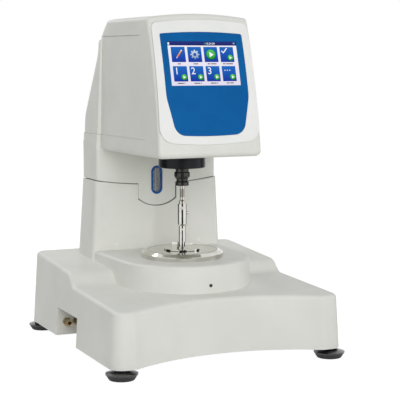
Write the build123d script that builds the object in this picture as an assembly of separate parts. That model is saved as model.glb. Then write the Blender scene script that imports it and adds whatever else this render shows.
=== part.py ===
from build123d import *
import math
import os

# A bench rheometer: a base with a thermostatted plate, a column, and a measuring head that rides up
# and down the column with the drive, the quick coupling and the measuring plate below it.
# Millimetres. The origin is on the table under the middle of the four feet, +Z is up, the user
# stands at -Y and +X is to the user's right.

# Fits and gaps
ROUND_PLAY = 0.05
SEAM = 0.3
RUNNING_GAP = 0.4

# Levelling feet
FOOT_SPACING_X = 348.0
FOOT_SPACING_Y = 387.3
FOOT_RADIUS = 24.4
FOOT_PAD_HEIGHT = 7.0
FOOT_PAD_SOLE_RADIUS = 19.0
FOOT_RIM_HEIGHT = 2.2
FOOT_CONE_HEIGHT = 4.3
FOOT_NECK_RADIUS = 9.0
FOOT_STUD_RADIUS = 5.0
FOOT_STUD_LENGTH = 34.0
FOOT_PIVOT_RADIUS = 4.0
FOOT_PIVOT_LENGTH = 4.0
FOOT_NECK_GAP = 0.6

# Base casing and the plate under it
BASE_HALF_WIDTH = 192.0
BASE_HALF_DEPTH = 208.5
BASE_CORNER_RADIUS = 22.0
BASE_BOTTOM = 15.5
BASE_DRAFT = 3.5
BASE_TOP_ROUNDING = 7.0
FRONT_HOLLOW_DEPTH = 43.5
FRONT_HOLLOW_RADIUS = 300.0
TOE_RADIUS = 15.0
DECK_FRONT_HEIGHT = 99.5
DECK_REAR_HEIGHT = 138.5
DECK_STEP_START = (-12.0, 106.3)
DECK_STEP_END = (24.0, 126.6)
DECK_SLOPE = 0.06
CASING_WALL = 4.0
BASE_PLATE_THICKNESS = 5.0
BASE_PLATE_GAP = 0.5
INSERT_RADIUS = 7.0
INSERT_FLANGE_RADIUS = 8.5
INSERT_FLANGE_THICKNESS = 2.0
INSERT_LENGTH = 20.0
BASE_SCREW_PLACES = ((150.0, -172.0), (176.0, 125.0), (130.0, 190.0))
BASE_SCREW_RADIUS = 2.0
BASE_SCREW_LENGTH = 16.0
BASE_SCREW_HEAD_RADIUS = 3.8
BASE_SCREW_HEAD_HEIGHT = 2.4
BASE_BOSS_RADIUS = 5.0

# Platform in the middle of the base
PLATFORM_TOP = 145.8
PLATFORM_RADIUS = 108.0
PLATFORM_CENTRE_Y = -16.0
PLATFORM_REAR_HALF_WIDTH = 113.0
PLATFORM_DRAFT = 4.0
PLATFORM_ROUNDING = 5.0
PLATFORM_ROOT = 90.0
LEVEL_PLUG_HEIGHT = 115.0
LEVEL_PLUG_RADIUS = 2.6
LEVEL_PLUG_PROUD = 0.8

# Connector recess in the left side of the base
RECESS_FRONT = -37.0
RECESS_REAR = 63.0
RECESS_DEPTH = 52.0
RECESS_TOP = 62.0
RECESS_WALL = 3.0

# Fixed lower column
COLUMN_HALF_WIDTH = 117.0
COLUMN_FRONT = 92.5
COLUMN_REAR = 191.0
COLUMN_DRAFT = 2.9
COLUMN_FRONT_CORNER = 8.0
COLUMN_REAR_CORNER = 35.0

# Moving column cover and its tongue
COVER_HALF_WIDTH = 108.5
COVER_FRONT = 95.0
COVER_REAR = 186.0
COVER_FRONT_CORNER = 5.0
COVER_REAR_CORNER = 30.0
COVER_WALL = 3.5
PARTING_MIDDLE = 254.8
PARTING_SIDE = 264.0
PARTING_GAP = 1.5
TONGUE_HALF_WIDTH = 33.8
TONGUE_SIDE_BOTTOM = 231.0
TONGUE_BOTTOM = 218.7
WINDOW_WIDTH = 13.5
WINDOW_HEIGHT = 41.5
WINDOW_CENTRE_HEIGHT = 261.5
WINDOW_RIM = 3.3
WINDOW_PROUD = 0.6

# Measuring head
PAN_BOTTOM = 314.5
HEAD_TOP = 536.0
HEAD_FRONT_HALF_WIDTH = 87.0
HEAD_REAR_HALF_WIDTH = 101.5
HEAD_DRAFT = 1.3
CROWN_RADIUS = 550.0
FACE_LOW = (-125.5, 345.0)
FACE_MIDDLE = (-106.5, 440.0)
FACE_TOP = (-76.5, 530.0)
BACK_BEND_LOW_HEIGHT = 374.0
BACK_BEND_HIGH_HEIGHT = 478.0
BACK_BEND_SETBACK = 55.0
BACK_BEND_RADIUS = 60.0
BACK_BEND_HIGH_RADIUS = 30.0
BACK_TOP_SLOPE = 36.0
SPINE_LEAN = 2.7
HEAD_EDGE_ROUNDING = 6.0
PAN_ROUNDING = 8.0
HEAD_WALL = 4.0
SIDE_LINE_HEIGHT = 341.0
CAP_LINE_HEIGHT = 503.0
STRIP_LOW_Y = -77.0
STRIP_HIGH_Y = -51.0
REAR_COVER_SET_IN = 1.2
LIP_WIDTH = 6.0
LIP_THICKNESS = 2.0

# Front mask, blue fascia and screen
MASK_PROUD = 1.6
MASK_THICKNESS = 4.0
MASK_HALF_WIDTH_TOP = 81.0
MASK_HALF_WIDTH_LOW = 84.6
MASK_TOP_MIDDLE = 527.0
MASK_TOP_SIDE = 521.0
MASK_BOTTOM_MIDDLE = 335.0
MASK_BOTTOM_SIDE = 341.0
MASK_TOP_CORNER = 10.0
MASK_LOW_CORNER = 24.0
MASK_LEDGE = 6.0
FASCIA_SET_IN = 0.5
FASCIA_THICKNESS = 1.5
FASCIA_HALF_WIDTH = 69.4
FASCIA_LOW_HALF_WIDTH = 57.0
FASCIA_TOP_SIDE = 504.5
FASCIA_WAIST = 408.0
FASCIA_BOTTOM_SIDE = 350.5
FASCIA_WAIST_RADIUS = 60.0
FASCIA_LOW_CORNER = 20.0
FASCIA_TOP_CORNER = 3.0
FASCIA_TOP_MIDDLE = 507.5
FASCIA_BOTTOM_MIDDLE = 348.2
SCREEN_WIDTH = 117.2
SCREEN_HEIGHT = 70.6
SCREEN_CENTRE_HEIGHT = 459.1
GLASS_MARGIN = 1.6
GLASS_THICKNESS = 1.8
GLASS_DEPTH = 1.3
DISPLAY_THICKNESS = 7.0
BRACKET_THICKNESS = 1.5
BRACKET_SIZE = (146.0, 96.0)
POST_SPACING = (134.0, 84.0)
POST_RADIUS = 4.0
PIN_RADIUS = 1.5
BOARD_SIZE = (128.0, 82.0)
BOARD_THICKNESS = 1.6
BOARD_STANDOFF = 8.0
STANDOFF_SPACING = (112.0, 66.0)
STANDOFF_RADIUS = 3.0
BOARD_BLOCKS = ((34.0, 26.0, 5.0), (22.0, 22.0, 3.0), (48.0, 10.0, 9.0))

# Spindle line
AXIS_Y = -13.8
FLANGE_RING_RADIUS = 38.1
FLANGE_RING_BOTTOM = 291.4
NOSE_RADIUS = 10.9
NOSE_LENGTH = 7.6
COLLAR_RADIUS = 12.95
COLLAR_LENGTH = 7.1
COLLAR_TAPER = 3.8
WAIST_RADIUS = 9.4
WAIST_LENGTH = 5.5
WAIST_STEP = 1.0
WAIST_STEP_LENGTH = 0.8
WAIST_FLARE = 1.8
COLLAR_BEVEL = 1.2
LOW_COLLAR_BEVEL = 0.5
LOW_COLLAR_RADIUS = 11.05
LOW_COLLAR_LENGTH = 5.7
SLEEVE_TRAVEL = 3.0
STEM_RADIUS = 3.9
STEM_LENGTH = 23.5
STEM_GROOVES = 8
STEM_GROOVE_PITCH = 1.7
STEM_GROOVE_DEPTH = 0.55
STEM_GROOVE_WIDTH = 0.8
HUB_RADIUS = 5.3
HUB_LENGTH = 6.5
HUB_BEVEL = 2.0
BARREL_RADIUS = 7.8
BARREL_LENGTH = 33.0
BARREL_TAPER = 3.0
CROSS_HOLE_RADIUS = 2.75
CROSS_HOLE_DROP = 6.5
NUB_DROP = 15.0
NUB_RADIUS = 2.2
NUB_PROUD = 2.4
NUB_SINK = 0.4
NUB_STEM_RADIUS = 1.5
TUBE_RADIUS = 6.0
TUBE_HOLE_RADIUS = 1.9
TUBE_HOLE_DROP = 6.0
PLATE_RADIUS = 30.0
PLATE_THICKNESS = 2.0
PLATE_GAP = 0.5
PLATE_HUB_RADIUS = 8.5
PLATE_HUB_HEIGHT = 2.4
LUG_INNER = 6.6
LUG_OUTER = 16.2
LUG_WIDTH = 8.0
LUG_HEIGHT = 9.4
LUG_TURN = -46.0

# Thermostatted lower plate
DISC_RADIUS = 67.0
DISC_TOP_RADIUS = 61.5
DISC_HEIGHT = 11.2
DISC_WALL_HEIGHT = 7.0
DISC_RING_RADIUS = 56.0
DISC_RING_WIDTH = 1.2
DISC_RING_DEPTH = 0.8
DISC_SPIGOT_RADIUS = 40.0
EXCHANGER_RADIUS = 36.0
EXCHANGER_HEIGHT = 26.0
DISC_SCREW_CIRCLE = 52.0
DISC_SCREW_RADIUS = 2.0
DISC_SCREW_HEAD_RADIUS = 3.8
DISC_SCREW_HEAD = 2.0
PIPE_RADIUS = 4.0
PIPE_SPACING = 22.0
PIPE_HEIGHT = 37.0
FITTING_RADIUS = 6.0
FITTING_LENGTH = 16.0
FITTING_NUT_RADIUS = 7.5
FITTING_NUT_LENGTH = 4.0
FITTING_INSET = 18.0
FITTING_SPACING = 17.0

# Lift inside the column
LIFT_TRAVEL = 118.0
LIFT_SPARE = 12.0
ROD_RADIUS = 8.0
ROD_SPACING = 110.0
LIFT_Y = 141.0
ROD_BOTTOM = 30.0
YOKE_RISE = 2.0
YOKE_HEIGHT = 16.0
YOKE_HALF_DEPTH = 15.0
YOKE_END = 14.0
BUSHING_WALL = 5.0
BUSHING_LENGTH = 26.0
FRAME_BLOCK_HEIGHT = 68.0
FRAME_HALF_DEPTH = 27.0
FRAME_SIDE_THICKNESS = 8.0
CORE_HALF_WIDTH = 99.0
CORE_FRONT = 102.5
CORE_REAR = 177.0
CORE_SHOULDER = 357.0
CORE_TOP_REAR = 155.5
CORE_WALL = 2.0
CORE_BOTTOM = 186.0
CORE_TOP = 393.0
CORE_CORNER = 28.0
CORE_FRONT_CORNER = 4.0
SCALE_WIDTH = 9.0
SCALE_THICKNESS = 1.2
SCREW_RADIUS = 6.0
SCREW_TOP = 290.0
SCREW_SEAT_HEIGHT = 7.0
NUT_RADIUS = 11.0
NUT_LENGTH = 34.0
NUT_FLANGE_RADIUS = 15.0
NUT_FLANGE_THICKNESS = 4.0
MOTOR_SIZE = 56.0
MOTOR_HEIGHT = 54.0
MOTOR_CORNER = 5.0
CHASSIS_BOTTOM = 402.0
CHASSIS_THICKNESS = 12.0
CHASSIS_HALF_WIDTH = 72.0
CHASSIS_FRONT = -60.0
CHASSIS_REAR = 158.0
CHASSIS_POST_RADIUS = 6.0
CHASSIS_POSTS = ((62.0, -46.0), (62.0, 70.0))
CHASSIS_WINDOW = (80.0, 56.0)

# Drive in the head
DRIVE_RADIUS = 35.0
DRIVE_WALL = 5.0
DRIVE_FLOOR = 16.0
DRIVE_STEP = 1.5
DRIVE_FLANGE_RADIUS = 48.0
DRIVE_FLANGE_THICKNESS = 6.0
SHAFT_RADIUS = 5.0
BEARING_RADIUS = 13.0
BEARING_WIDTH = 8.0
STATOR_INNER_RADIUS = 18.0
STATOR_LENGTH = 34.0
MAGNET_RADIUS = 17.2
ENCODER_RADIUS = 20.0
ENCODER_THICKNESS = 1.2
ENCODER_LIFT = 4.0
SHAFT_END = 6.0
BEARING_FLOOR = 6.0
RING_FLOOR = 5.0
RING_BORE = 20.0
RING_BOSS_RADIUS = 34.5
RING_SCREW_CIRCLE = 27.5
RING_SCREW_RADIUS = 2.0
RING_SCREW_HEAD_RADIUS = 3.5
RING_SCREW_DEPTH = 8.0
CORE_STEM_RADIUS = 7.0
NOSE_ENTRY = 1.2
SPRING_WIRE = 0.8
SPRING_TURNS = 3.0
STEM_ENTRY = 13.0
BARREL_ENTRY = 14.0
TUBE_SPIGOT_RADIUS = 5.0
TUBE_SPIGOT_LENGTH = 12.0
CROSS_HOLE_TURN = 66.0
NUB_TURN = -24.0

# Inlet, switch and supply
INLET_X = 96.0
INLET_HEIGHT = 52.0
INLET_WIDTH = 28.0
INLET_TALL = 48.0
INLET_DEPTH = 26.0
SOCKET_WIDTH = 24.0
SOCKET_TALL = 18.0
SOCKET_DEPTH = 16.0
PIN_WIDTH = 2.0
PIN_TALL = 4.0
PIN_LENGTH = 12.0
PIN_DROP = 2.0
SOCKET_RISE = 10.0
PIN_SPACING = 7.0
ROCKER_DROP = 12.5
ROCKER_WIDTH = 16.0
ROCKER_HALF_HEIGHT = 8.0
ROCKER_BODY_RADIUS = 5.0
ROCKER_BELLY_RADIUS = 3.6
ROCKER_FACE = 4.0
ROCKER_RIM = 1.4
ROCKER_DISH = 1.0
ROCKER_PIN_END = 1.5
ROCKER_TILT = 8.0
ROCKER_SINK = 4.5
ROCKER_PIN_RADIUS = 1.5
ROCKER_CLEARANCE = 1.2
INLET_PROUD = 1.7
INLET_RIM = 3.0
SUPPLY_SIZE = (70.0, 130.0, 38.0)
SUPPLY_CORNER = (92.0, -70.0)
CAP_SPACING = 151.6
CAP_HEIGHT = 155.2
CAP_RADIUS = 3.3
CAP_STEM_RADIUS = 2.3
CAP_THICKNESS = 0.8
CAP_LENGTH = 4.0
DECK_SLOT = (-4.0, 6.0, -142.9, -141.1)
DECK_SLOT_DEPTH = 1.0
COVER_SCREW_SPACING = 120.0
COVER_SCREW_HEIGHT = 346.0
COVER_SCREW_RADIUS = 1.5
COVER_SCREW_HEAD_RADIUS = 2.8
COVER_SCREW_HEAD = 1.5
COVER_SCREW_LENGTH = 5.5
COVER_SCREW_BOSS = 0.6


def block(x_low, x_high, y_low, y_high, z_low, z_high):
    size = (x_high - x_low, y_high - y_low, z_high - z_low)
    return Pos(x_low, y_low, z_low) * Box(*size, align=(Align.MIN, Align.MIN, Align.MIN))


def upright(radius, low, high, x=0.0, y=0.0):
    return Pos(x, y, low) * Cylinder(radius, high - low, align=(Align.CENTER, Align.CENTER, Align.MIN))


def ring(outer, inner, low, high, x=0.0, y=0.0):
    return upright(outer, low, high, x, y) - upright(inner, low - 1, high + 1, x, y)


def turned(points, x=0.0, y=0.0):
    face = make_face(Polyline(*[(r, 0, z) for r, z in points], close=True))
    return Pos(x, y, 0) * revolve(face, Axis.Z)


def along_y(radius, start, end, x, z):
    return Pos(x, start, z) * Rot(-90, 0, 0) * Cylinder(
        radius, end - start, align=(Align.CENTER, Align.CENTER, Align.MIN))


def along_x(radius, start, end, y, z):
    return Pos(start, y, z) * Rot(0, 90, 0) * Cylinder(
        radius, end - start, align=(Align.CENTER, Align.CENTER, Align.MIN))


def mirrored(places):
    return [(side * x, y) for x, y in places for side in (-1, 1)]


def draft_loss(height, degrees):
    return height * math.tan(math.radians(degrees))


def drafted(outline, low, high, degrees, inset=0.0):
    bottom = Pos(0, 0, low) * outline(inset)
    top = Pos(0, 0, high) * outline(inset + draft_loss(high - low, degrees))
    return loft([bottom, top], ruled=True)


def box_outline(half_width, front, rear, front_corner, rear_corner):
    plate = Pos(0, (front + rear) / 2) * Rectangle(2 * half_width, rear - front)
    plate = fillet([v for v in plate.vertices() if v.Y > (front + rear) / 2], rear_corner)
    return fillet([v for v in plate.vertices() if abs(v.Y - front) < 0.01], front_corner)


def base_outline(inset):
    half_width = BASE_HALF_WIDTH - inset
    half_depth = BASE_HALF_DEPTH - inset
    plate = RectangleRounded(2 * half_width, 2 * half_depth, BASE_CORNER_RADIUS - inset)
    hollow_centre = -BASE_HALF_DEPTH + FRONT_HOLLOW_DEPTH - FRONT_HOLLOW_RADIUS
    hollow_radius = FRONT_HOLLOW_RADIUS + inset
    plate -= Pos(0, hollow_centre) * Circle(hollow_radius)
    reach = math.sqrt(hollow_radius ** 2 - (half_depth + hollow_centre) ** 2)
    toes = [v for v in plate.vertices() if v.Y < 0 and abs(abs(v.X) - reach) < 0.01]
    return fillet(toes, TOE_RADIUS)


def deck_profile(inset):
    far = BASE_HALF_DEPTH + BASE_CORNER_RADIUS
    side_shift = inset * 0.3
    start = (DECK_STEP_START[0] + side_shift, DECK_STEP_START[1] - inset)
    end = (DECK_STEP_END[0] + side_shift, DECK_STEP_END[1] - inset)
    below = BASE_BOTTOM - CASING_WALL
    step = Spline(start, end, tangents=[(1, DECK_SLOPE), (1, DECK_SLOPE)])
    rest = Polyline(end, (far, DECK_REAR_HEIGHT - inset), (far, below), (-far, below),
                    (-far, DECK_FRONT_HEIGHT - inset), start)
    return extrude(Plane.YZ * make_face([step, rest]), BASE_HALF_WIDTH, both=True)


def deck_edges(form):
    edges = []
    for edge in form.edges():
        box = edge.bounding_box()
        crosses_deck = box.size.X > BASE_HALF_WIDTH and abs(edge.center().Y) < BASE_HALF_DEPTH / 2
        if box.min.Z > DECK_FRONT_HEIGHT / 2 and not crosses_deck:
            edges.append(edge)
    return edges


def base_form(inset):
    high = DECK_REAR_HEIGHT + BASE_CORNER_RADIUS
    return drafted(base_outline, BASE_BOTTOM, high, BASE_DRAFT, inset) & deck_profile(inset)


def platform_outline(inset):
    nose = Pos(0, PLATFORM_CENTRE_Y) * Circle(PLATFORM_RADIUS - inset)
    rear_width = 2 * (PLATFORM_REAR_HALF_WIDTH - inset)
    back = Pos(0, COLUMN_FRONT + CASING_WALL) * Rectangle(rear_width, CASING_WALL)
    return make_hull([*nose.edges(), *back.edges()])


def platform_form(inset):
    rise = PLATFORM_TOP - PLATFORM_ROOT
    flare = draft_loss(rise, PLATFORM_DRAFT)
    return drafted(platform_outline, PLATFORM_ROOT, PLATFORM_TOP - inset, PLATFORM_DRAFT, inset - flare)


def column_outline(inset):
    return box_outline(COLUMN_HALF_WIDTH - inset, COLUMN_FRONT, COLUMN_REAR - inset,
                       COLUMN_FRONT_CORNER, COLUMN_REAR_CORNER)


def inner_column_outline(inset):
    return box_outline(COLUMN_HALF_WIDTH - inset, COLUMN_FRONT + CASING_WALL, COLUMN_REAR - inset,
                       COLUMN_FRONT_CORNER - CASING_WALL, COLUMN_REAR_CORNER - CASING_WALL)


def parting_prism(shift):
    low = PARTING_SIDE - COVER_HALF_WIDTH * 3
    side = BASE_HALF_WIDTH
    sag = (PARTING_SIDE - PARTING_MIDDLE) * (side / COVER_HALF_WIDTH) ** 2
    middle = (0, PARTING_MIDDLE + shift)
    right = (side, PARTING_MIDDLE + sag + shift)
    left = (-side, right[1])
    top = ThreePointArc(left, middle, right)
    rest = Polyline(right, (side, low), (-side, low), left)
    return extrude(Plane.XZ * make_face([top, rest]), BASE_HALF_DEPTH * 2, both=True)


def tongue_prism(grow, top):
    half = TONGUE_HALF_WIDTH + grow
    side_bottom = TONGUE_SIDE_BOTTOM - grow
    arc = ThreePointArc((-half, side_bottom), (0, TONGUE_BOTTOM - grow), (half, side_bottom))
    rest = Polyline((half, side_bottom), (half, top), (-half, top), (-half, side_bottom))
    face = make_face([arc, rest])
    return extrude(Plane.XZ * face, BASE_HALF_DEPTH, both=True) & block(
        -half, half, 0, COVER_FRONT + COVER_WALL, 0, top)


def recess_box(grow):
    outer = -BASE_HALF_WIDTH - CASING_WALL
    return block(outer, -BASE_HALF_WIDTH + RECESS_DEPTH + grow, RECESS_FRONT - grow,
                 RECESS_REAR + grow, BASE_BOTTOM - 1, RECESS_TOP + grow)


def inlet_opening(grow):
    half = INLET_WIDTH / 2 + grow
    tall = INLET_TALL / 2 + grow
    return block(INLET_X - half, INLET_X + half, BASE_HALF_DEPTH - INLET_DEPTH - CASING_WALL * 3,
                 BASE_HALF_DEPTH + CASING_WALL, INLET_HEIGHT - tall, INLET_HEIGHT + tall)


def base_bosses():
    bosses = None
    for x, y in mirrored(BASE_SCREW_PLACES):
        boss = upright(BASE_BOSS_RADIUS, BASE_BOTTOM + BASE_PLATE_THICKNESS, DECK_REAR_HEIGHT, x, y)
        bosses = boss if bosses is None else bosses + boss
    return bosses


def base_housing():
    outer = base_form(0)
    outer = fillet(deck_edges(outer), BASE_TOP_ROUNDING)
    platform = platform_form(0)
    platform = fillet(platform.faces().sort_by(Axis.Z)[-1].edges(), PLATFORM_ROUNDING)
    column = drafted(column_outline, PLATFORM_TOP, PARTING_SIDE * 1.1, COLUMN_DRAFT)
    flare = draft_loss(PLATFORM_TOP - PLATFORM_ROOT, COLUMN_DRAFT)
    foot = drafted(column_outline, PLATFORM_ROOT, PLATFORM_TOP, COLUMN_DRAFT, -flare)
    column = (column + foot) & parting_prism(-PARTING_GAP / 2)
    shell = outer + platform + column
    cavity = base_form(CASING_WALL) + platform_form(CASING_WALL)
    cavity += drafted(inner_column_outline, PLATFORM_ROOT, PARTING_SIDE * 1.1, COLUMN_DRAFT,
                      CASING_WALL - flare)
    shell -= cavity
    shell += base_bosses() & base_form(CASING_WALL / 2)
    for x, y in mirrored(BASE_SCREW_PLACES):
        shell -= upright(BASE_SCREW_RADIUS + ROUND_PLAY, BASE_BOTTOM, BASE_BOTTOM + BASE_SCREW_LENGTH, x, y)
    shell += recess_box(RECESS_WALL) & base_form(CASING_WALL / 2)
    shell -= recess_box(0)
    shell -= tongue_prism(PARTING_GAP, PARTING_SIDE * 1.1)
    shell -= upright(DISC_SPIGOT_RADIUS + SEAM, PLATFORM_TOP - CASING_WALL - 1, PLATFORM_TOP + 1, 0, AXIS_Y)
    for x, y in disc_screw_places():
        shell -= upright(DISC_SCREW_RADIUS + SEAM, PLATFORM_TOP - CASING_WALL - 1, PLATFORM_TOP + 1, x, y)
    shell -= inlet_opening(SEAM)
    shell -= along_y(LEVEL_PLUG_RADIUS, -BASE_HALF_DEPTH, PLATFORM_CENTRE_Y, 0, LEVEL_PLUG_HEIGHT)
    for x in cap_places():
        shell -= along_y(CAP_STEM_RADIUS, PLATFORM_CENTRE_Y, COLUMN_FRONT + CASING_WALL * 2, x, CAP_HEIGHT)
    return shell - deck_slot() - pipe_holes()


def disc_screw_places():
    places = []
    for step in range(4):
        angle = math.radians(45 + 90 * step)
        places.append((DISC_SCREW_CIRCLE * math.cos(angle), AXIS_Y + DISC_SCREW_CIRCLE * math.sin(angle)))
    return places


def foot_places():
    names = {"front_left": (-1, -1), "front_right": (1, -1), "rear_left": (-1, 1), "rear_right": (1, 1)}
    return {name: (sx * FOOT_SPACING_X / 2, sy * FOOT_SPACING_Y / 2) for name, (sx, sy) in names.items()}


def deck_slot():
    x_low, x_high, y_low, y_high = DECK_SLOT
    surface = DECK_STEP_START[1] + DECK_SLOPE * ((y_low + y_high) / 2 - DECK_STEP_START[0])
    return block(x_low, x_high, y_low, y_high, surface - DECK_SLOT_DEPTH, surface + CASING_WALL)


def base_plate():
    inset = CASING_WALL + BASE_PLATE_GAP
    top = BASE_BOTTOM + BASE_PLATE_THICKNESS
    plate = drafted(base_outline, BASE_BOTTOM, top, BASE_DRAFT, inset)
    plate -= recess_box(RECESS_WALL + BASE_PLATE_GAP)
    for x, y in foot_places().values():
        plate -= upright(INSERT_RADIUS, BASE_BOTTOM - 1, top + 1, x, y)
    for x, y in mirrored(BASE_SCREW_PLACES):
        plate -= upright(BASE_SCREW_RADIUS + SEAM, BASE_BOTTOM - 1, top + 1, x, y)
        plate -= upright(BASE_SCREW_HEAD_RADIUS + SEAM, BASE_BOTTOM - 1,
                         BASE_BOTTOM + BASE_SCREW_HEAD_HEIGHT, x, y)
    return plate


def base_screws():
    screws = []
    for x, y in mirrored(BASE_SCREW_PLACES):
        screw = upright(BASE_SCREW_HEAD_RADIUS, BASE_BOTTOM, BASE_BOTTOM + BASE_SCREW_HEAD_HEIGHT, x, y)
        screw += upright(BASE_SCREW_RADIUS, BASE_BOTTOM, BASE_BOTTOM + BASE_SCREW_LENGTH, x, y)
        screw -= Pos(x, y, BASE_BOTTOM) * Box(BASE_SCREW_HEAD_RADIUS, 0.8, 1.6)
        screws.append(screw)
    return Compound(screws)


def foot_inserts():
    top = BASE_BOTTOM + BASE_PLATE_THICKNESS
    inserts = []
    for x, y in foot_places().values():
        insert = upright(INSERT_RADIUS - ROUND_PLAY, BASE_BOTTOM, BASE_BOTTOM + INSERT_LENGTH, x, y)
        insert += upright(INSERT_FLANGE_RADIUS, top, top + INSERT_FLANGE_THICKNESS, x, y)
        insert -= upright(FOOT_STUD_RADIUS + ROUND_PLAY, BASE_BOTTOM - 1,
                          BASE_BOTTOM + INSERT_LENGTH + 1, x, y)
        inserts.append(insert)
    return Compound(inserts)


def foot_pad(x, y):
    pad = turned([(0, 0), (FOOT_PAD_SOLE_RADIUS, 0), (FOOT_RADIUS - 0.8, FOOT_PAD_HEIGHT),
                  (0, FOOT_PAD_HEIGHT)], x, y)
    socket = FOOT_PAD_HEIGHT - FOOT_PIVOT_LENGTH
    return pad - upright(FOOT_PIVOT_RADIUS + ROUND_PLAY, socket, FOOT_PAD_HEIGHT + 1, x, y)


def foot_screw(x, y):
    rim_low = FOOT_PAD_HEIGHT + SEAM
    rim_high = rim_low + FOOT_RIM_HEIGHT
    cone_top = rim_high + FOOT_CONE_HEIGHT
    stud_top = BASE_BOTTOM - FOOT_NECK_GAP + FOOT_STUD_LENGTH
    pivot = FOOT_PAD_HEIGHT - FOOT_PIVOT_LENGTH + SEAM
    neck_top = BASE_BOTTOM - FOOT_NECK_GAP
    return turned([(0, pivot), (FOOT_PIVOT_RADIUS, pivot), (FOOT_PIVOT_RADIUS, rim_low),
                   (FOOT_RADIUS, rim_low), (FOOT_RADIUS, rim_high), (FOOT_NECK_RADIUS, cone_top),
                   (FOOT_NECK_RADIUS, neck_top), (FOOT_STUD_RADIUS, neck_top),
                   (FOOT_STUD_RADIUS, stud_top - 1), (FOOT_STUD_RADIUS - 1, stud_top), (0, stud_top)], x, y)


def chamber_disc():
    low = PLATFORM_TOP
    top = low + DISC_HEIGHT
    disc = turned([(0, low), (DISC_RADIUS, low), (DISC_RADIUS, low + DISC_WALL_HEIGHT),
                   (DISC_TOP_RADIUS, top), (0, top)], 0, AXIS_Y)
    disc += upright(DISC_SPIGOT_RADIUS, low - CASING_WALL, low, 0, AXIS_Y)
    disc -= ring(DISC_RING_RADIUS + DISC_RING_WIDTH, DISC_RING_RADIUS, top - DISC_RING_DEPTH, top + 1,
                 0, AXIS_Y)
    for x, y in disc_screw_places():
        disc -= upright(DISC_SCREW_RADIUS + ROUND_PLAY, low - 1, low + DISC_HEIGHT / 2, x, y)
    return disc


def disc_screws():
    screws = []
    under = PLATFORM_TOP - CASING_WALL
    tip = PLATFORM_TOP + DISC_HEIGHT / 2 - 0.5
    for x, y in disc_screw_places():
        screw = upright(DISC_SCREW_HEAD_RADIUS, under - DISC_SCREW_HEAD, under, x, y)
        screw += upright(DISC_SCREW_RADIUS, under - DISC_SCREW_HEAD, tip, x, y)
        screws.append(screw)
    return Compound(screws)


def exchanger_bottom():
    return PLATFORM_TOP - CASING_WALL - EXCHANGER_HEIGHT


def pipe_places():
    return [side * PIPE_SPACING / 2 for side in (1, -1)]


def heat_exchanger():
    body = upright(EXCHANGER_RADIUS, exchanger_bottom(), PLATFORM_TOP - CASING_WALL, 0, AXIS_Y)
    for offset in pipe_places():
        body -= upright(PIPE_RADIUS + ROUND_PLAY, exchanger_bottom() - 1,
                        exchanger_bottom() + EXCHANGER_HEIGHT / 2, offset, AXIS_Y)
    return body


def fitting_xs():
    outer = -BASE_HALF_WIDTH + FITTING_INSET
    return (outer, outer + FITTING_SPACING)


def coolant_pipes():
    pipes = []
    wall_y = RECESS_REAR + RECESS_WALL
    for index, (x, offset) in enumerate(zip(fitting_xs(), pipe_places())):
        run_y = wall_y + PIPE_RADIUS * (5.5 + 3.5 * (1 - index))
        low_z = PIPE_HEIGHT
        port_top = exchanger_bottom() + EXCHANGER_HEIGHT / 2 - 1
        bend = PIPE_RADIUS * 2.5
        path = FilletPolyline((x, RECESS_REAR, low_z), (x, run_y, low_z), (offset, run_y, low_z),
                              (offset, AXIS_Y, low_z), (offset, AXIS_Y, port_top), radius=bend)
        section = Plane(origin=(x, RECESS_REAR, low_z), z_dir=(0, 1, 0)) * Circle(PIPE_RADIUS)
        pipes.append(sweep(section, path=path))
    return Compound(pipes)


def hose_fittings():
    fittings = []
    for x in fitting_xs():
        end = RECESS_REAR - FITTING_LENGTH
        fitting = along_y(FITTING_RADIUS, end, RECESS_REAR, x, PIPE_HEIGHT)
        nut = extrude(RegularPolygon(FITTING_NUT_RADIUS, 6), FITTING_NUT_LENGTH)
        fitting += Pos(x, RECESS_REAR, PIPE_HEIGHT) * Rot(90, 0, 0) * nut
        for step in range(3):
            groove_y = end + 2 + 3 * step
            cutter = ring(FITTING_RADIUS + 1, FITTING_RADIUS - 0.8, 0, 1.2)
            fitting -= Pos(x, groove_y, PIPE_HEIGHT) * Rot(-90, 0, 0) * cutter
        fitting -= along_y(PIPE_RADIUS - 1, end - 1, RECESS_REAR + 1, x, PIPE_HEIGHT)
        fittings.append(fitting)
    return Compound(fittings)


def pipe_holes():
    holes = None
    for x in fitting_xs():
        hole = along_y(PIPE_RADIUS + SEAM, RECESS_REAR, RECESS_REAR + RECESS_WALL + 1, x, PIPE_HEIGHT)
        holes = hole if holes is None else holes + hole
    return holes


def rod_xs():
    return (-ROD_SPACING / 2, ROD_SPACING / 2)


def yoke_low():
    return ROD_BOTTOM + YOKE_RISE


def frame_block_low():
    return yoke_low() + YOKE_HEIGHT + LIFT_TRAVEL + LIFT_SPARE


def frame_block_high():
    return frame_block_low() + FRAME_BLOCK_HEIGHT


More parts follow.
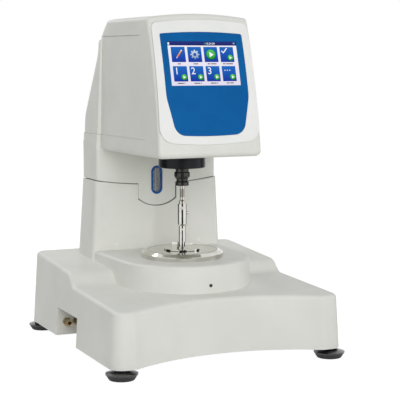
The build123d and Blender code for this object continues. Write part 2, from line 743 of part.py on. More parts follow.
def column_frame():
    top = BASE_BOTTOM + BASE_PLATE_THICKNESS
    low, high = frame_block_low(), frame_block_high()
    half_width = CORE_HALF_WIDTH - CORE_WALL
    y_low, y_high = LIFT_Y - FRAME_HALF_DEPTH, LIFT_Y + FRAME_HALF_DEPTH
    frame = block(-half_width, half_width, y_low, y_high, low, high)
    for side in (-1, 1):
        x_low, x_high = sorted((side * half_width, side * (half_width - FRAME_SIDE_THICKNESS)))
        frame += block(x_low, x_high, y_low, y_high, top, low)
        foot_low, foot_high = sorted((side * half_width, side * (half_width - FRAME_SIDE_THICKNESS * 3)))
        frame += block(foot_low, foot_high, y_low, y_high, top, top + FRAME_SIDE_THICKNESS)
    for x in rod_xs():
        outer = ROD_RADIUS + BUSHING_WALL
        frame -= upright(outer, low - 1, low + BUSHING_LENGTH, x, LIFT_Y)
        frame -= upright(outer, high - BUSHING_LENGTH, high + 1, x, LIFT_Y)
        frame -= upright(ROD_RADIUS + 1, low, high, x, LIFT_Y)
    frame -= upright(NUT_FLANGE_RADIUS, low - 1, high + 1, 0, LIFT_Y)
    return frame & Pos(0, 0, BASE_BOTTOM) * extrude(core_outline(CORE_WALL), high)


def rod_bushings():
    bushings = []
    spans = ((frame_block_low(), frame_block_low() + BUSHING_LENGTH),
             (frame_block_high() - BUSHING_LENGTH, frame_block_high()))
    for x in rod_xs():
        for low, high in spans:
            outer = ROD_RADIUS + BUSHING_WALL - ROUND_PLAY
            bushings.append(ring(outer, ROD_RADIUS + ROUND_PLAY, low, high, x, LIFT_Y))
    return Compound(bushings)


def core_outline(inset):
    return box_outline(CORE_HALF_WIDTH - inset, CORE_FRONT + inset, CORE_REAR - inset,
                       CORE_FRONT_CORNER - inset, CORE_CORNER - inset)


def core_solid(inset, low):
    column = Pos(0, 0, low) * extrude(core_outline(inset), CORE_TOP - inset - low)
    top = CORE_TOP - inset
    face = make_face(Polyline((0, low), (CORE_REAR - inset, low), (CORE_REAR - inset, CORE_SHOULDER),
                              (CORE_TOP_REAR - inset, top), (0, top), close=True))
    return column & extrude(Plane.YZ * face, CORE_HALF_WIDTH, both=True)


def column_core():
    core = core_solid(0, CORE_BOTTOM) - core_solid(CORE_WALL, CORE_BOTTOM - 1)
    for x in rod_xs():
        core -= upright(ROD_RADIUS + 2, CORE_TOP - CORE_WALL - 1, CORE_TOP + 1, x, LIFT_Y)
    return core - upright(ROD_RADIUS, CORE_TOP - CORE_WALL - 1, CORE_TOP + 1, 0, LIFT_Y)


def height_scale():
    half = SCALE_WIDTH / 2
    return block(-half, half, CORE_FRONT - SCALE_THICKNESS, CORE_FRONT,
                 TONGUE_BOTTOM, CORE_TOP - CORE_WALL * 3)


def lift_motor():
    half = MOTOR_SIZE / 2
    low, high = frame_block_high(), frame_block_high() + MOTOR_HEIGHT
    body = block(-half, half, LIFT_Y - half, LIFT_Y + half, low, high)
    body = fillet(body.edges().filter_by(Axis.Z), MOTOR_CORNER)
    return body - upright(SCREW_RADIUS + ROUND_PLAY, low - 1, SCREW_TOP + 1, 0, LIFT_Y)


def screw_seat():
    top = BASE_BOTTOM + BASE_PLATE_THICKNESS
    seat = upright(SCREW_RADIUS + 7, top, top + SCREW_SEAT_HEIGHT, 0, LIFT_Y)
    return seat - upright(SCREW_RADIUS + ROUND_PLAY, top + 1, top + SCREW_SEAT_HEIGHT + 1, 0, LIFT_Y)


def lead_screw():
    bottom = BASE_BOTTOM + BASE_PLATE_THICKNESS + 1 + SEAM
    return upright(SCREW_RADIUS, bottom, SCREW_TOP, 0, LIFT_Y)


def guide_rods():
    top = CHASSIS_BOTTOM + CHASSIS_THICKNESS
    return Compound([upright(ROD_RADIUS, ROD_BOTTOM, top, x, LIFT_Y) for x in rod_xs()])


def lift_yoke():
    half = ROD_SPACING / 2 + YOKE_END
    low, high = yoke_low(), yoke_low() + YOKE_HEIGHT
    yoke = block(-half, half, LIFT_Y - YOKE_HALF_DEPTH, LIFT_Y + YOKE_HALF_DEPTH, low, high)
    yoke = fillet(yoke.edges().filter_by(Axis.Z), YOKE_END / 2)
    for x in rod_xs():
        yoke -= upright(ROD_RADIUS + ROUND_PLAY, low - 1, high + 1, x, LIFT_Y)
    return yoke - upright(NUT_RADIUS + ROUND_PLAY, low - 1, high + 1, 0, LIFT_Y)


def lead_nut():
    low = yoke_low()
    flange = low + YOKE_HEIGHT
    nut = upright(NUT_RADIUS, low, low + NUT_LENGTH, 0, LIFT_Y)
    nut += upright(NUT_FLANGE_RADIUS - ROUND_PLAY, flange, flange + NUT_FLANGE_THICKNESS, 0, LIFT_Y)
    return nut - upright(SCREW_RADIUS + ROUND_PLAY, low - 1, low + NUT_LENGTH + 1, 0, LIFT_Y)


def cover_outline(inset):
    return box_outline(COVER_HALF_WIDTH - inset, COVER_FRONT + inset, COVER_REAR - inset,
                       COVER_FRONT_CORNER - inset, COVER_REAR_CORNER - inset)


def half_space(point, normal):
    reach = HEAD_TOP * 5
    return Plane(origin=point, z_dir=normal) * Box(
        reach, reach, reach, align=(Align.CENTER, Align.CENTER, Align.MAX))


def between_leaning_sides(body, half_width, at_y, turn, lean):
    for side in (-1, 1):
        normal = Vector(side * math.cos(turn), -math.sin(turn), math.tan(math.radians(lean)))
        body &= half_space((side * half_width, at_y, PAN_BOTTOM), normal)
    return body


def face_arc():
    return ThreePointArc(FACE_LOW, FACE_MIDDLE, FACE_TOP)


def face_disc(inset):
    arc = face_arc()
    return Pos(arc.arc_center.X, arc.arc_center.Y) * Circle(arc.radius - inset)


def nearest(face, y, z):
    return min(face.vertices(), key=lambda v: (v.X - y) ** 2 + (v.Y - z) ** 2)


def head_profile(inset):
    rear = COVER_REAR - inset
    front = -BASE_HALF_DEPTH * 1.5
    top = HEAD_TOP - inset
    low = PAN_BOTTOM + inset
    bend_low = (rear, BACK_BEND_LOW_HEIGHT)
    bend_high = (rear - BACK_BEND_SETBACK, BACK_BEND_HIGH_HEIGHT)
    slope_low = (bend_high[0], HEAD_TOP - BACK_TOP_SLOPE - inset * 0.41)
    slope_high = (bend_high[0] - BACK_TOP_SLOPE + inset * 0.59, top)
    face = make_face(Polyline((front, low), (rear, low), bend_low, bend_high, slope_low, slope_high,
                              (front, top), close=True))
    face &= face_disc(inset)
    face = fillet([nearest(face, *bend_low)], BACK_BEND_RADIUS)
    face = fillet([nearest(face, *bend_high)], BACK_BEND_HIGH_RADIUS)
    face = fillet([nearest(face, *slope_low)], COVER_REAR_CORNER + 1 - inset)
    return extrude(Plane.YZ * face, BASE_HALF_WIDTH, both=True)


def crown(inset):
    middle = HEAD_TOP - inset - CROWN_RADIUS
    return Pos(0, 0, middle) * Rot(90, 0, 0) * Cylinder(CROWN_RADIUS, BASE_HALF_DEPTH * 4)


def rear_corner_edges(body):
    edges = []
    for edge in body.edges():
        box = edge.bounding_box()
        at_side = box.size.X < 12 and abs(edge.center().X) > MASK_HALF_WIDTH_LOW
        behind = box.min.Y > 60 and box.size.Y < 80
        if at_side and behind and box.size.Z > 0.5 and not (box.min.Z > 520 and box.size.Z < 2):
            edges.append(edge)
    return edges


def rounded_back(body, inset):
    return fillet(rear_corner_edges(body), COVER_REAR_CORNER - inset)


def head_body(inset):
    taper = HEAD_REAR_HALF_WIDTH - HEAD_FRONT_HALF_WIDTH
    turn = math.atan2(taper, COVER_FRONT - FACE_LOW[0])
    half = HEAD_REAR_HALF_WIDTH - inset
    body = between_leaning_sides(head_profile(inset), half, COVER_FRONT, turn, HEAD_DRAFT)
    return rounded_back(body & crown(inset), inset)


def head_spine(inset):
    half = COVER_HALF_WIDTH - inset
    body = between_leaning_sides(head_profile(inset), half, COVER_REAR, 0, SPINE_LEAN) & crown(inset)
    body = rounded_back(body, inset) & half_space((0, COVER_FRONT + inset, 0), (0, -1, 0))
    return body & half_space((0, 0, CAP_LINE_HEIGHT - LIP_WIDTH), (0, 0, 1))


def head_top_edges(body):
    edges = []
    for edge in body.edges():
        box = edge.bounding_box()
        if box.min.Z > MASK_TOP_SIDE and (box.size.Y > 0.3 or box.size.X > 50):
            edges.append(edge)
    return edges


def head_front_edges(body):
    tall = [e for e in body.edges() if e.bounding_box().size.Z > 100]
    return [e for e in tall if abs(e.center().X) > 80 and e.center().Y < -90]


def pan_edges(body):
    edges = []
    for edge in body.edges():
        box = edge.bounding_box()
        if box.max.Z < PAN_BOTTOM + 0.1 and edge.center().Y < COVER_FRONT - 5:
            edges.append(edge)
    return edges


def head_outside():
    body = head_body(0)
    body = fillet(head_top_edges(body) + head_front_edges(body), HEAD_EDGE_ROUNDING)
    body = fillet(pan_edges(body), PAN_ROUNDING)
    return body + head_spine(0)


def head_inside(inset):
    return head_body(inset) + head_spine(inset)


def rear_region(grow):
    far = COVER_REAR + CASING_WALL * 3
    slope = (STRIP_HIGH_Y - STRIP_LOW_Y) / (CAP_LINE_HEIGHT - SIDE_LINE_HEIGHT)
    low = SIDE_LINE_HEIGHT - grow
    high = CAP_LINE_HEIGHT + grow
    front_low = STRIP_LOW_Y - grow - slope * grow
    front_high = STRIP_HIGH_Y - grow + slope * grow
    face = make_face(Polyline((front_low, low), (far, low), (far, high), (front_high, high), close=True))
    return extrude(Plane.YZ * face, BASE_HALF_WIDTH, both=True)


def mask_face(inset):
    half_top = MASK_HALF_WIDTH_TOP - inset
    half_low = MASK_HALF_WIDTH_LOW - inset
    top_side = MASK_TOP_SIDE - inset
    low_side = MASK_BOTTOM_SIDE + inset
    top = ThreePointArc((-half_top, top_side), (0, MASK_TOP_MIDDLE - inset), (half_top, top_side))
    low = ThreePointArc((-half_low, low_side), (0, MASK_BOTTOM_MIDDLE + inset), (half_low, low_side))
    sides = [Line((side * half_low, low_side), (side * half_top, top_side)) for side in (-1, 1)]
    face = make_face([top, low, *sides])
    upper = [v for v in face.vertices() if v.Y > SCREEN_CENTRE_HEIGHT]
    face = fillet(upper, MASK_TOP_CORNER - inset)
    lower = [v for v in face.vertices() if v.Y < MASK_BOTTOM_SIDE + inset + 0.5]
    return fillet(lower, MASK_LOW_CORNER - inset)


def front_prism(face):
    prism = extrude(Plane.XZ * face, BASE_HALF_DEPTH)
    return prism & block(-BASE_HALF_WIDTH, BASE_HALF_WIDTH, -BASE_HALF_DEPTH, CHASSIS_FRONT, 0, HEAD_TOP * 2)


def face_slab(outer, inner):
    face = face_disc(outer) - face_disc(inner)
    face &= Pos(-BASE_HALF_DEPTH / 2, HEAD_TOP / 2) * Rectangle(BASE_HALF_DEPTH, HEAD_TOP * 2)
    return extrude(Plane.YZ * face, BASE_HALF_WIDTH, both=True)


def fascia_face(grow):
    wide = FASCIA_HALF_WIDTH + grow
    narrow = FASCIA_LOW_HALF_WIDTH + grow
    top_side = FASCIA_TOP_SIDE + grow
    low_side = FASCIA_BOTTOM_SIDE - grow
    top = ThreePointArc((-wide, top_side), (0, FASCIA_TOP_MIDDLE + grow), (wide, top_side))
    low = ThreePointArc((-narrow, low_side), (0, FASCIA_BOTTOM_MIDDLE - grow), (narrow, low_side))
    right = Polyline((narrow, low_side), (wide, FASCIA_WAIST), (wide, top_side))
    left = Polyline((-narrow, low_side), (-wide, FASCIA_WAIST), (-wide, top_side))
    face = make_face([top, low, right, left])
    face = fillet([v for v in face.vertices() if abs(v.Y - FASCIA_WAIST) < 1], FASCIA_WAIST_RADIUS + grow)
    face = fillet([v for v in face.vertices() if abs(v.Y - low_side) < 0.1], FASCIA_LOW_CORNER + grow)
    return fillet([v for v in face.vertices() if abs(v.Y - top_side) < 0.1], FASCIA_TOP_CORNER + grow)


def screen_plane():
    arc = face_arc()
    lean = math.asin((SCREEN_CENTRE_HEIGHT - arc.arc_center.Y) / arc.radius)
    front = arc.arc_center.X - arc.radius * math.cos(lean)
    return Plane(origin=(0, front, SCREEN_CENTRE_HEIGHT), x_dir=(1, 0, 0),
                 z_dir=(0, -math.cos(lean), math.sin(lean)))


def screen_block(width, height, front, rear, x=0.0, y=0.0):
    shape = Pos(x, y, -rear) * Box(width, height, rear - front, align=(Align.CENTER, Align.CENTER, Align.MIN))
    return screen_plane() * shape


def screen_posts(radius, spacing, front, rear):
    posts = []
    for x in (-spacing[0] / 2, spacing[0] / 2):
        for y in (-spacing[1] / 2, spacing[1] / 2):
            posts.append(screen_plane() * Pos(x, y, 0) * upright(radius, -rear, -front))
    return posts


def fused(shapes):
    total = shapes[0]
    for shape in shapes[1:]:
        total = total + shape
    return total


def glass_size():
    return SCREEN_WIDTH + 2 * GLASS_MARGIN, SCREEN_HEIGHT + 2 * GLASS_MARGIN


def glass_rear():
    return GLASS_DEPTH + GLASS_THICKNESS


def display_rear():
    return glass_rear() + DISPLAY_THICKNESS


def bracket_rear():
    return display_rear() + BRACKET_THICKNESS


def head_front_mask():
    mask = face_slab(-MASK_PROUD, MASK_THICKNESS - MASK_PROUD) & front_prism(mask_face(0))
    posts = fused(screen_posts(POST_RADIUS, POST_SPACING, 0, display_rear()))
    pins = fused(screen_posts(PIN_RADIUS, POST_SPACING, 0, bracket_rear() + 1.5))
    mask += posts + pins
    pocket_low = FASCIA_THICKNESS + FASCIA_SET_IN - MASK_PROUD
    mask -= face_slab(-MASK_PROUD - 5, pocket_low) & front_prism(fascia_face(SEAM))
    width, height = glass_size()
    return mask - screen_block(width + 2 * SEAM, height + 2 * SEAM, -20, display_rear())


def fascia_panel():
    low = FASCIA_THICKNESS + FASCIA_SET_IN - MASK_PROUD
    panel = face_slab(FASCIA_SET_IN - MASK_PROUD, low) & front_prism(fascia_face(0))
    return panel - screen_block(SCREEN_WIDTH, SCREEN_HEIGHT, -20, 20)


def touch_glass():
    width, height = glass_size()
    return screen_block(width, height, GLASS_DEPTH, glass_rear())


def display_module():
    width, height = glass_size()
    return screen_block(width - 1, height - 1, glass_rear(), display_rear())


def display_bracket():
    bracket = screen_block(*BRACKET_SIZE, display_rear(), bracket_rear())
    bracket += fused(screen_posts(STANDOFF_RADIUS, STANDOFF_SPACING, display_rear() + 0.2,
                                  bracket_rear() + BOARD_STANDOFF))
    bracket -= fused(screen_posts(PIN_RADIUS + ROUND_PLAY, POST_SPACING, 0, bracket_rear() + 5))
    return bracket


def main_board():
    front = bracket_rear() + BOARD_STANDOFF
    rear = front + BOARD_THICKNESS
    board = screen_block(*BOARD_SIZE, front, rear)
    for index, (width, height, thick) in enumerate(BOARD_BLOCKS):
        place = (index - 1) * BOARD_SIZE[0] / 3
        board += screen_block(width, height, rear, rear + thick, place, 0)
    return board


def cover_screw_places():
    rear = COVER_REAR - REAR_COVER_SET_IN
    return [(side * COVER_SCREW_SPACING / 2, rear, COVER_SCREW_HEIGHT) for side in (-1, 1)]


def cover_screw_shape(x, rear, height, play):
    head = along_y(COVER_SCREW_HEAD_RADIUS + play, rear - COVER_SCREW_HEAD, rear + play * 10, x, height)
    return head + along_y(COVER_SCREW_RADIUS + play, rear - COVER_SCREW_LENGTH, rear, x, height)


def cover_screws():
    screws = []
    for x, rear, height in cover_screw_places():
        screw = cover_screw_shape(x, rear, height, 0)
        slot = Pos(x, rear, height) * Box(COVER_SCREW_HEAD_RADIUS, 1.6, 0.7)
        screws.append(screw - slot)
    return Compound(screws)


def head_rear_cover():
    outer = head_inside(REAR_COVER_SET_IN)
    inner = head_inside(HEAD_WALL)
    cover = (outer - inner) & rear_region(-SEAM)
    for x, rear, height in cover_screw_places():
        cover -= cover_screw_shape(x, rear, height, ROUND_PLAY)
    return cover


def rear_cover_lip():
    band = rear_region(LIP_WIDTH) - rear_region(-LIP_WIDTH)
    inner = head_inside(HEAD_WALL + LIP_THICKNESS)
    inside = (head_inside(HEAD_WALL) - inner) & band
    outside = (head_inside(HEAD_WALL - 1) - inner) & band - rear_region(0)
    lip = inside + outside
    for x, rear, height in cover_screw_places():
        lip += along_y(COVER_SCREW_HEAD_RADIUS + 1, rear - COVER_SCREW_LENGTH - COVER_SCREW_BOSS,
                       rear - HEAD_WALL, x, height)
    return lip


def chassis_posts():
    posts = []
    for x, y in mirrored(CHASSIS_POSTS):
        posts.append(upright(CHASSIS_POST_RADIUS, PAN_BOTTOM + HEAD_WALL / 2, CHASSIS_BOTTOM, x, y))
    return fused(posts)


def column_cover(inset):
    cover = extrude(cover_outline(inset), PAN_BOTTOM + HEAD_WALL * 3 - TONGUE_BOTTOM + 2)
    return Pos(0, 0, TONGUE_BOTTOM - 1) * cover


def window_face(grow):
    return SlotOverall(WINDOW_HEIGHT + 2 * grow, WINDOW_WIDTH + 2 * grow, rotation=90)


def window_prism(grow, y_front, y_rear):
    prism = extrude(Plane.XZ * window_face(grow), y_rear - y_front)
    return Pos(0, y_rear, WINDOW_CENTRE_HEIGHT) * prism


def lens_front():
    return COVER_FRONT + COVER_WALL / 2


def carriage_shell():
    outer = column_cover(0) - parting_prism(PARTING_GAP / 2)
    outer += column_cover(0) & tongue_prism(0, PARTING_SIDE)
    shell = head_outside() + outer
    shell -= head_inside(HEAD_WALL)
    shell -= column_cover(COVER_WALL)
    shell -= rear_region(0) & (head_outside_box() - head_inside(HEAD_WALL))
    shell += rear_cover_lip()
    shell -= face_slab(-20, MASK_THICKNESS - MASK_PROUD) & front_prism(mask_face(-SEAM))
    shell -= front_prism(mask_face(MASK_LEDGE))
    shell += chassis_posts()
    shell -= upright(DRIVE_RADIUS + SEAM, PAN_BOTTOM - 1, PAN_BOTTOM + HEAD_WALL + 1, 0, AXIS_Y)
    shell -= window_prism(WINDOW_RIM + SEAM, COVER_FRONT - 1, lens_front())
    shell -= window_prism(0, COVER_FRONT - 1, COVER_FRONT + COVER_WALL + 1)
    for x, rear, height in cover_screw_places():
        shell -= cover_screw_shape(x, rear, height, ROUND_PLAY)
    return shell


def head_outside_box():
    return block(-BASE_HALF_WIDTH, BASE_HALF_WIDTH, -BASE_HALF_DEPTH, BASE_HALF_DEPTH, 0, HEAD_TOP + 1)


def window_bezel():
    bezel = window_prism(WINDOW_RIM, COVER_FRONT - WINDOW_PROUD, lens_front())
    bezel -= window_prism(0, COVER_FRONT - 2, lens_front() + 1)
    return bezel - window_prism(1, lens_front() - 1, lens_front() + 1)


def window_lens():
    return window_prism(1 - SEAM, lens_front() - 1, lens_front())


def chassis_plate():
    top = CHASSIS_BOTTOM + CHASSIS_THICKNESS
    half = CHASSIS_HALF_WIDTH
    plate = block(-half, half, CHASSIS_FRONT, CHASSIS_REAR, CHASSIS_BOTTOM, top)
    plate = fillet(plate.edges().filter_by(Axis.Z), HEAD_EDGE_ROUNDING)
    width, depth = CHASSIS_WINDOW
    middle = (AXIS_Y + DRIVE_RADIUS + LIFT_Y - ROD_RADIUS) / 2
    window = block(-width / 2, width / 2, middle - depth / 2, middle + depth / 2, CHASSIS_BOTTOM - 1, top + 1)
    plate -= fillet(window.edges().filter_by(Axis.Z), HEAD_EDGE_ROUNDING)
    for x in rod_xs():
        plate -= upright(ROD_RADIUS, CHASSIS_BOTTOM - 1, top + 1, x, LIFT_Y)
    plate -= upright(BEARING_RADIUS, CHASSIS_BOTTOM - 1, CHASSIS_BOTTOM + BEARING_WIDTH, 0, AXIS_Y)
    return plate - upright(SHAFT_RADIUS + 3, CHASSIS_BOTTOM, top + 1, 0, AXIS_Y)


def housing_bottom():
    return PAN_BOTTOM + DRIVE_STEP


def flange_low():
    return PAN_BOTTOM + HEAD_WALL


def ring_screw_places():
    places = []
    for step in range(4):
        angle = math.radians(45 + 90 * step)
        places.append((RING_SCREW_CIRCLE * math.cos(angle), AXIS_Y + RING_SCREW_CIRCLE * math.sin(angle)))
    return places


def drive_housing():
    bottom = housing_bottom()
    floor_top = bottom + DRIVE_FLOOR
    inner = DRIVE_RADIUS - DRIVE_WALL
    flange_top = flange_low() + DRIVE_FLANGE_THICKNESS
    housing = turned([(SHAFT_RADIUS + 2, bottom), (DRIVE_RADIUS, bottom), (DRIVE_RADIUS, flange_low()),
                      (DRIVE_FLANGE_RADIUS, flange_low()), (DRIVE_FLANGE_RADIUS, flange_top),
                      (DRIVE_RADIUS, flange_top), (DRIVE_RADIUS, CHASSIS_BOTTOM), (inner, CHASSIS_BOTTOM),
                      (inner, floor_top), (BEARING_RADIUS, floor_top),
                      (BEARING_RADIUS, bottom + BEARING_FLOOR), (SHAFT_RADIUS + 2, bottom + BEARING_FLOOR)],
                     0, AXIS_Y)
    for x, y in ring_screw_places():
        housing -= upright(RING_SCREW_RADIUS + ROUND_PLAY, bottom - 1, bottom + RING_SCREW_DEPTH, x, y)
    return housing


def bearing_lows():
    return (housing_bottom() + BEARING_FLOOR, CHASSIS_BOTTOM)


def drive_bearings():
    return Compound([ring(BEARING_RADIUS, SHAFT_RADIUS + ROUND_PLAY, low, low + BEARING_WIDTH, 0, AXIS_Y)
                     for low in bearing_lows()])


def stator_low():
    return (housing_bottom() + DRIVE_FLOOR + CHASSIS_BOTTOM - STATOR_LENGTH) / 2


def drive_stator():
    low = stator_low()
    stator = ring(DRIVE_RADIUS - DRIVE_WALL, STATOR_INNER_RADIUS, low, low + STATOR_LENGTH, 0, AXIS_Y)
    slot_middle = (STATOR_INNER_RADIUS + DRIVE_RADIUS - DRIVE_WALL) / 2
    for step in range(9):
        angle = 360 / 9 * step
        slot = Box(slot_middle - STATOR_INNER_RADIUS, 2.4, STATOR_LENGTH + 2)
        stator -= Pos(0, AXIS_Y, low + STATOR_LENGTH / 2) * Rot(0, 0, angle) * Pos(slot_middle, 0, 0) * slot
    return stator


def flange_ring():
    boss_top = housing_bottom()
    body_top = PAN_BOTTOM - SEAM
    low = FLANGE_RING_BOTTOM
    bore = NOSE_RADIUS + RUNNING_GAP
    body = turned([(bore, low), (FLANGE_RING_RADIUS - 1, low), (FLANGE_RING_RADIUS, low + 1),
                   (FLANGE_RING_RADIUS, body_top), (RING_BOSS_RADIUS, body_top), (RING_BOSS_RADIUS, boss_top),
                   (RING_BORE, boss_top), (RING_BORE, low + RING_FLOOR), (bore, low + RING_FLOOR)], 0, AXIS_Y)
    for x, y in ring_screw_places():
        body -= upright(RING_SCREW_RADIUS + ROUND_PLAY, low - 1, boss_top + 1, x, y)
        body -= upright(RING_SCREW_HEAD_RADIUS + SEAM, low - 1, low + RING_SCREW_DEPTH, x, y)
    return body


def ring_screws():
    screws = []
    seat = FLANGE_RING_BOTTOM + RING_SCREW_DEPTH
    tip = housing_bottom() + RING_SCREW_DEPTH - 0.5
    for x, y in ring_screw_places():
        screw = upright(RING_SCREW_HEAD_RADIUS, seat - 4, seat, x, y)
        screw += upright(RING_SCREW_RADIUS, seat - 0.1, tip, x, y)
        socket = extrude(RegularPolygon(1.7, 6), 2)
        screws.append(screw - Pos(x, y, seat - 4) * socket)
    return Compound(screws)


def nose_bottom():
    return FLANGE_RING_BOTTOM - NOSE_LENGTH


def sleeve_bottom():
    return nose_bottom() - COLLAR_LENGTH - COLLAR_TAPER - WAIST_LENGTH - LOW_COLLAR_LENGTH


def core_step():
    return nose_bottom() - NOSE_ENTRY


def core_top():
    return FLANGE_RING_BOTTOM + RING_FLOOR + RUNNING_GAP * 2


def coupling_core():
    core = upright(NOSE_RADIUS, core_step(), core_top(), 0, AXIS_Y)
    core += upright(CORE_STEM_RADIUS, sleeve_bottom() + 1, core_step(), 0, AXIS_Y)
    core -= upright(SHAFT_RADIUS, nose_bottom(), core_top() + 1, 0, AXIS_Y)
    return core - upright(STEM_RADIUS, sleeve_bottom(), sleeve_bottom() + STEM_ENTRY, 0, AXIS_Y)


def drive_shaft():
    top = CHASSIS_BOTTOM + CHASSIS_THICKNESS + ENCODER_LIFT + SHAFT_END
    return upright(SHAFT_RADIUS, nose_bottom(), top, 0, AXIS_Y)


def drive_magnet():
    return ring(MAGNET_RADIUS, SHAFT_RADIUS, stator_low(), stator_low() + STATOR_LENGTH, 0, AXIS_Y)


def encoder_disc():
    low = CHASSIS_BOTTOM + CHASSIS_THICKNESS + ENCODER_LIFT
    disc = ring(ENCODER_RADIUS, SHAFT_RADIUS, low, low + ENCODER_THICKNESS, 0, AXIS_Y)
    return disc + ring(SHAFT_RADIUS + 3, SHAFT_RADIUS, low - 2, low + 3, 0, AXIS_Y)


def coupling_sleeve():
    top = nose_bottom()
    taper_top = top - COLLAR_LENGTH
    waist_top = taper_top - COLLAR_TAPER
    low_top = waist_top - WAIST_LENGTH
    bottom = sleeve_bottom()
    bore = CORE_STEM_RADIUS + ROUND_PLAY
    wide = NOSE_RADIUS + ROUND_PLAY
    seat = core_step() - spring_space()
    step = WAIST_RADIUS + WAIST_STEP
    return turned([(bore, bottom), (LOW_COLLAR_RADIUS - LOW_COLLAR_BEVEL, bottom),
                   (LOW_COLLAR_RADIUS, bottom + LOW_COLLAR_BEVEL), (LOW_COLLAR_RADIUS, low_top),
                   (WAIST_RADIUS, low_top + WAIST_FLARE), (WAIST_RADIUS, waist_top - WAIST_STEP_LENGTH),
                   (step, waist_top - WAIST_STEP_LENGTH), (step, waist_top), (COLLAR_RADIUS, taper_top),
                   (COLLAR_RADIUS, top - COLLAR_BEVEL), (COLLAR_RADIUS - COLLAR_BEVEL, top), (wide, top),
                   (wide, seat), (bore, seat)], 0, AXIS_Y)


def spring_space():
    return SLEEVE_TRAVEL * 2


def coupling_spring():
    middle = (CORE_STEM_RADIUS + NOSE_RADIUS) / 2
    height = spring_space() - SPRING_WIRE - ROUND_PLAY * 2
    path = Helix(pitch=height / SPRING_TURNS, height=height, radius=middle)
    section = Plane(origin=path @ 0, z_dir=path % 0) * Circle(SPRING_WIRE / 2)
    low = core_step() - spring_space() + SPRING_WIRE / 2 + ROUND_PLAY
    return Pos(0, AXIS_Y, low) * sweep(section, path=path, is_frenet=True)


def stem_bottom():
    return sleeve_bottom() - STEM_LENGTH


def barrel_top():
    return stem_bottom() - HUB_LENGTH


def tube_top():
    return barrel_top() - BARREL_LENGTH - BARREL_TAPER


def spindle_stem():
    stem = upright(STEM_RADIUS, barrel_top() - BARREL_ENTRY, sleeve_bottom() + STEM_ENTRY, 0, AXIS_Y)
    bevel_low = stem_bottom() - HUB_BEVEL
    stem += turned([(0, barrel_top()), (HUB_RADIUS, barrel_top()), (HUB_RADIUS, bevel_low),
                    (STEM_RADIUS, stem_bottom()), (0, stem_bottom())], 0, AXIS_Y)
    for step in range(STEM_GROOVES):
        middle = sleeve_bottom() - STEM_LENGTH / 2 + (step - (STEM_GROOVES - 1) / 2) * STEM_GROOVE_PITCH
        stem -= ring(STEM_RADIUS + 1, STEM_RADIUS - STEM_GROOVE_DEPTH, middle - STEM_GROOVE_WIDTH / 2,
                     middle + STEM_GROOVE_WIDTH / 2, 0, AXIS_Y)
    return stem - cross_hole(CROSS_HOLE_RADIUS, barrel_top() - CROSS_HOLE_DROP, CROSS_HOLE_TURN)


def cross_hole(radius, height, turn):
    hole = Cylinder(radius, BARREL_RADIUS * 4)
    return Pos(0, AXIS_Y, height) * Rot(0, 0, turn) * Rot(0, 90, 0) * hole


def spindle_barrel():
    top = barrel_top()
    taper_top = top - BARREL_LENGTH
    bottom = tube_top()
    barrel = turned([(0, bottom), (TUBE_RADIUS, bottom), (BARREL_RADIUS, taper_top), (BARREL_RADIUS, top),
                     (0, top)], 0, AXIS_Y)
    barrel -= upright(STEM_RADIUS, top - BARREL_ENTRY, top + 1, 0, AXIS_Y)
    barrel -= upright(TUBE_SPIGOT_RADIUS, bottom - 1, bottom + TUBE_SPIGOT_LENGTH, 0, AXIS_Y)
    barrel -= nub_hole()
    return barrel - cross_hole(CROSS_HOLE_RADIUS, top - CROSS_HOLE_DROP, CROSS_HOLE_TURN)


def at_nub(shape):
    return Pos(0, AXIS_Y, barrel_top() - NUB_DROP) * Rot(0, 0, NUB_TURN) * shape


def nub_hole():
    hole = along_x(NUB_STEM_RADIUS, 0, BARREL_RADIUS + 1, 0, 0)
    return at_nub(hole + along_x(NUB_RADIUS, BARREL_RADIUS - NUB_SINK, BARREL_RADIUS * 2, 0, 0))


def sleeve_screw():
    seat = BARREL_RADIUS - NUB_SINK
    screw = along_x(NUB_STEM_RADIUS, STEM_RADIUS, BARREL_RADIUS, 0, 0)
    screw += along_x(NUB_RADIUS, seat, seat + NUB_PROUD, 0, 0)
    return at_nub(screw - Pos(seat + NUB_PROUD, 0, 0) * Box(1.2, NUB_RADIUS * 3, 0.6))


def plate_low():
    return PLATFORM_TOP + DISC_HEIGHT + PLATE_GAP


def spindle_tube():
    low = plate_low() + PLATE_THICKNESS
    tube = upright(TUBE_RADIUS, low, tube_top(), 0, AXIS_Y)
    tube += upright(TUBE_SPIGOT_RADIUS, tube_top(), tube_top() + TUBE_SPIGOT_LENGTH, 0, AXIS_Y)
    return tube - cross_hole(TUBE_HOLE_RADIUS, tube_top() - TUBE_HOLE_DROP, CROSS_HOLE_TURN)


def measuring_plate():
    low = plate_low()
    top = low + PLATE_THICKNESS
    plate = upright(PLATE_RADIUS, low, top, 0, AXIS_Y)
    plate += ring(PLATE_HUB_RADIUS, TUBE_RADIUS, top, top + PLATE_HUB_HEIGHT, 0, AXIS_Y)
    for turn in (LUG_TURN, LUG_TURN + 180):
        lug = Pos((LUG_INNER + LUG_OUTER) / 2, 0, top + LUG_HEIGHT / 2) * Box(
            LUG_OUTER - LUG_INNER, LUG_WIDTH, LUG_HEIGHT)
        plate += Pos(0, AXIS_Y, 0) * Rot(0, 0, turn) * lug
    return plate


def screw_caps():
    caps = []
    for x in cap_places():
        cap = along_y(CAP_RADIUS, COLUMN_FRONT - CAP_THICKNESS, COLUMN_FRONT, x, CAP_HEIGHT)
        cap += along_y(CAP_STEM_RADIUS - ROUND_PLAY, COLUMN_FRONT, COLUMN_FRONT + CAP_LENGTH, x, CAP_HEIGHT)
        caps.append(cap)
    return Compound(caps)


def cap_places():
    return (-CAP_SPACING / 2, CAP_SPACING / 2)


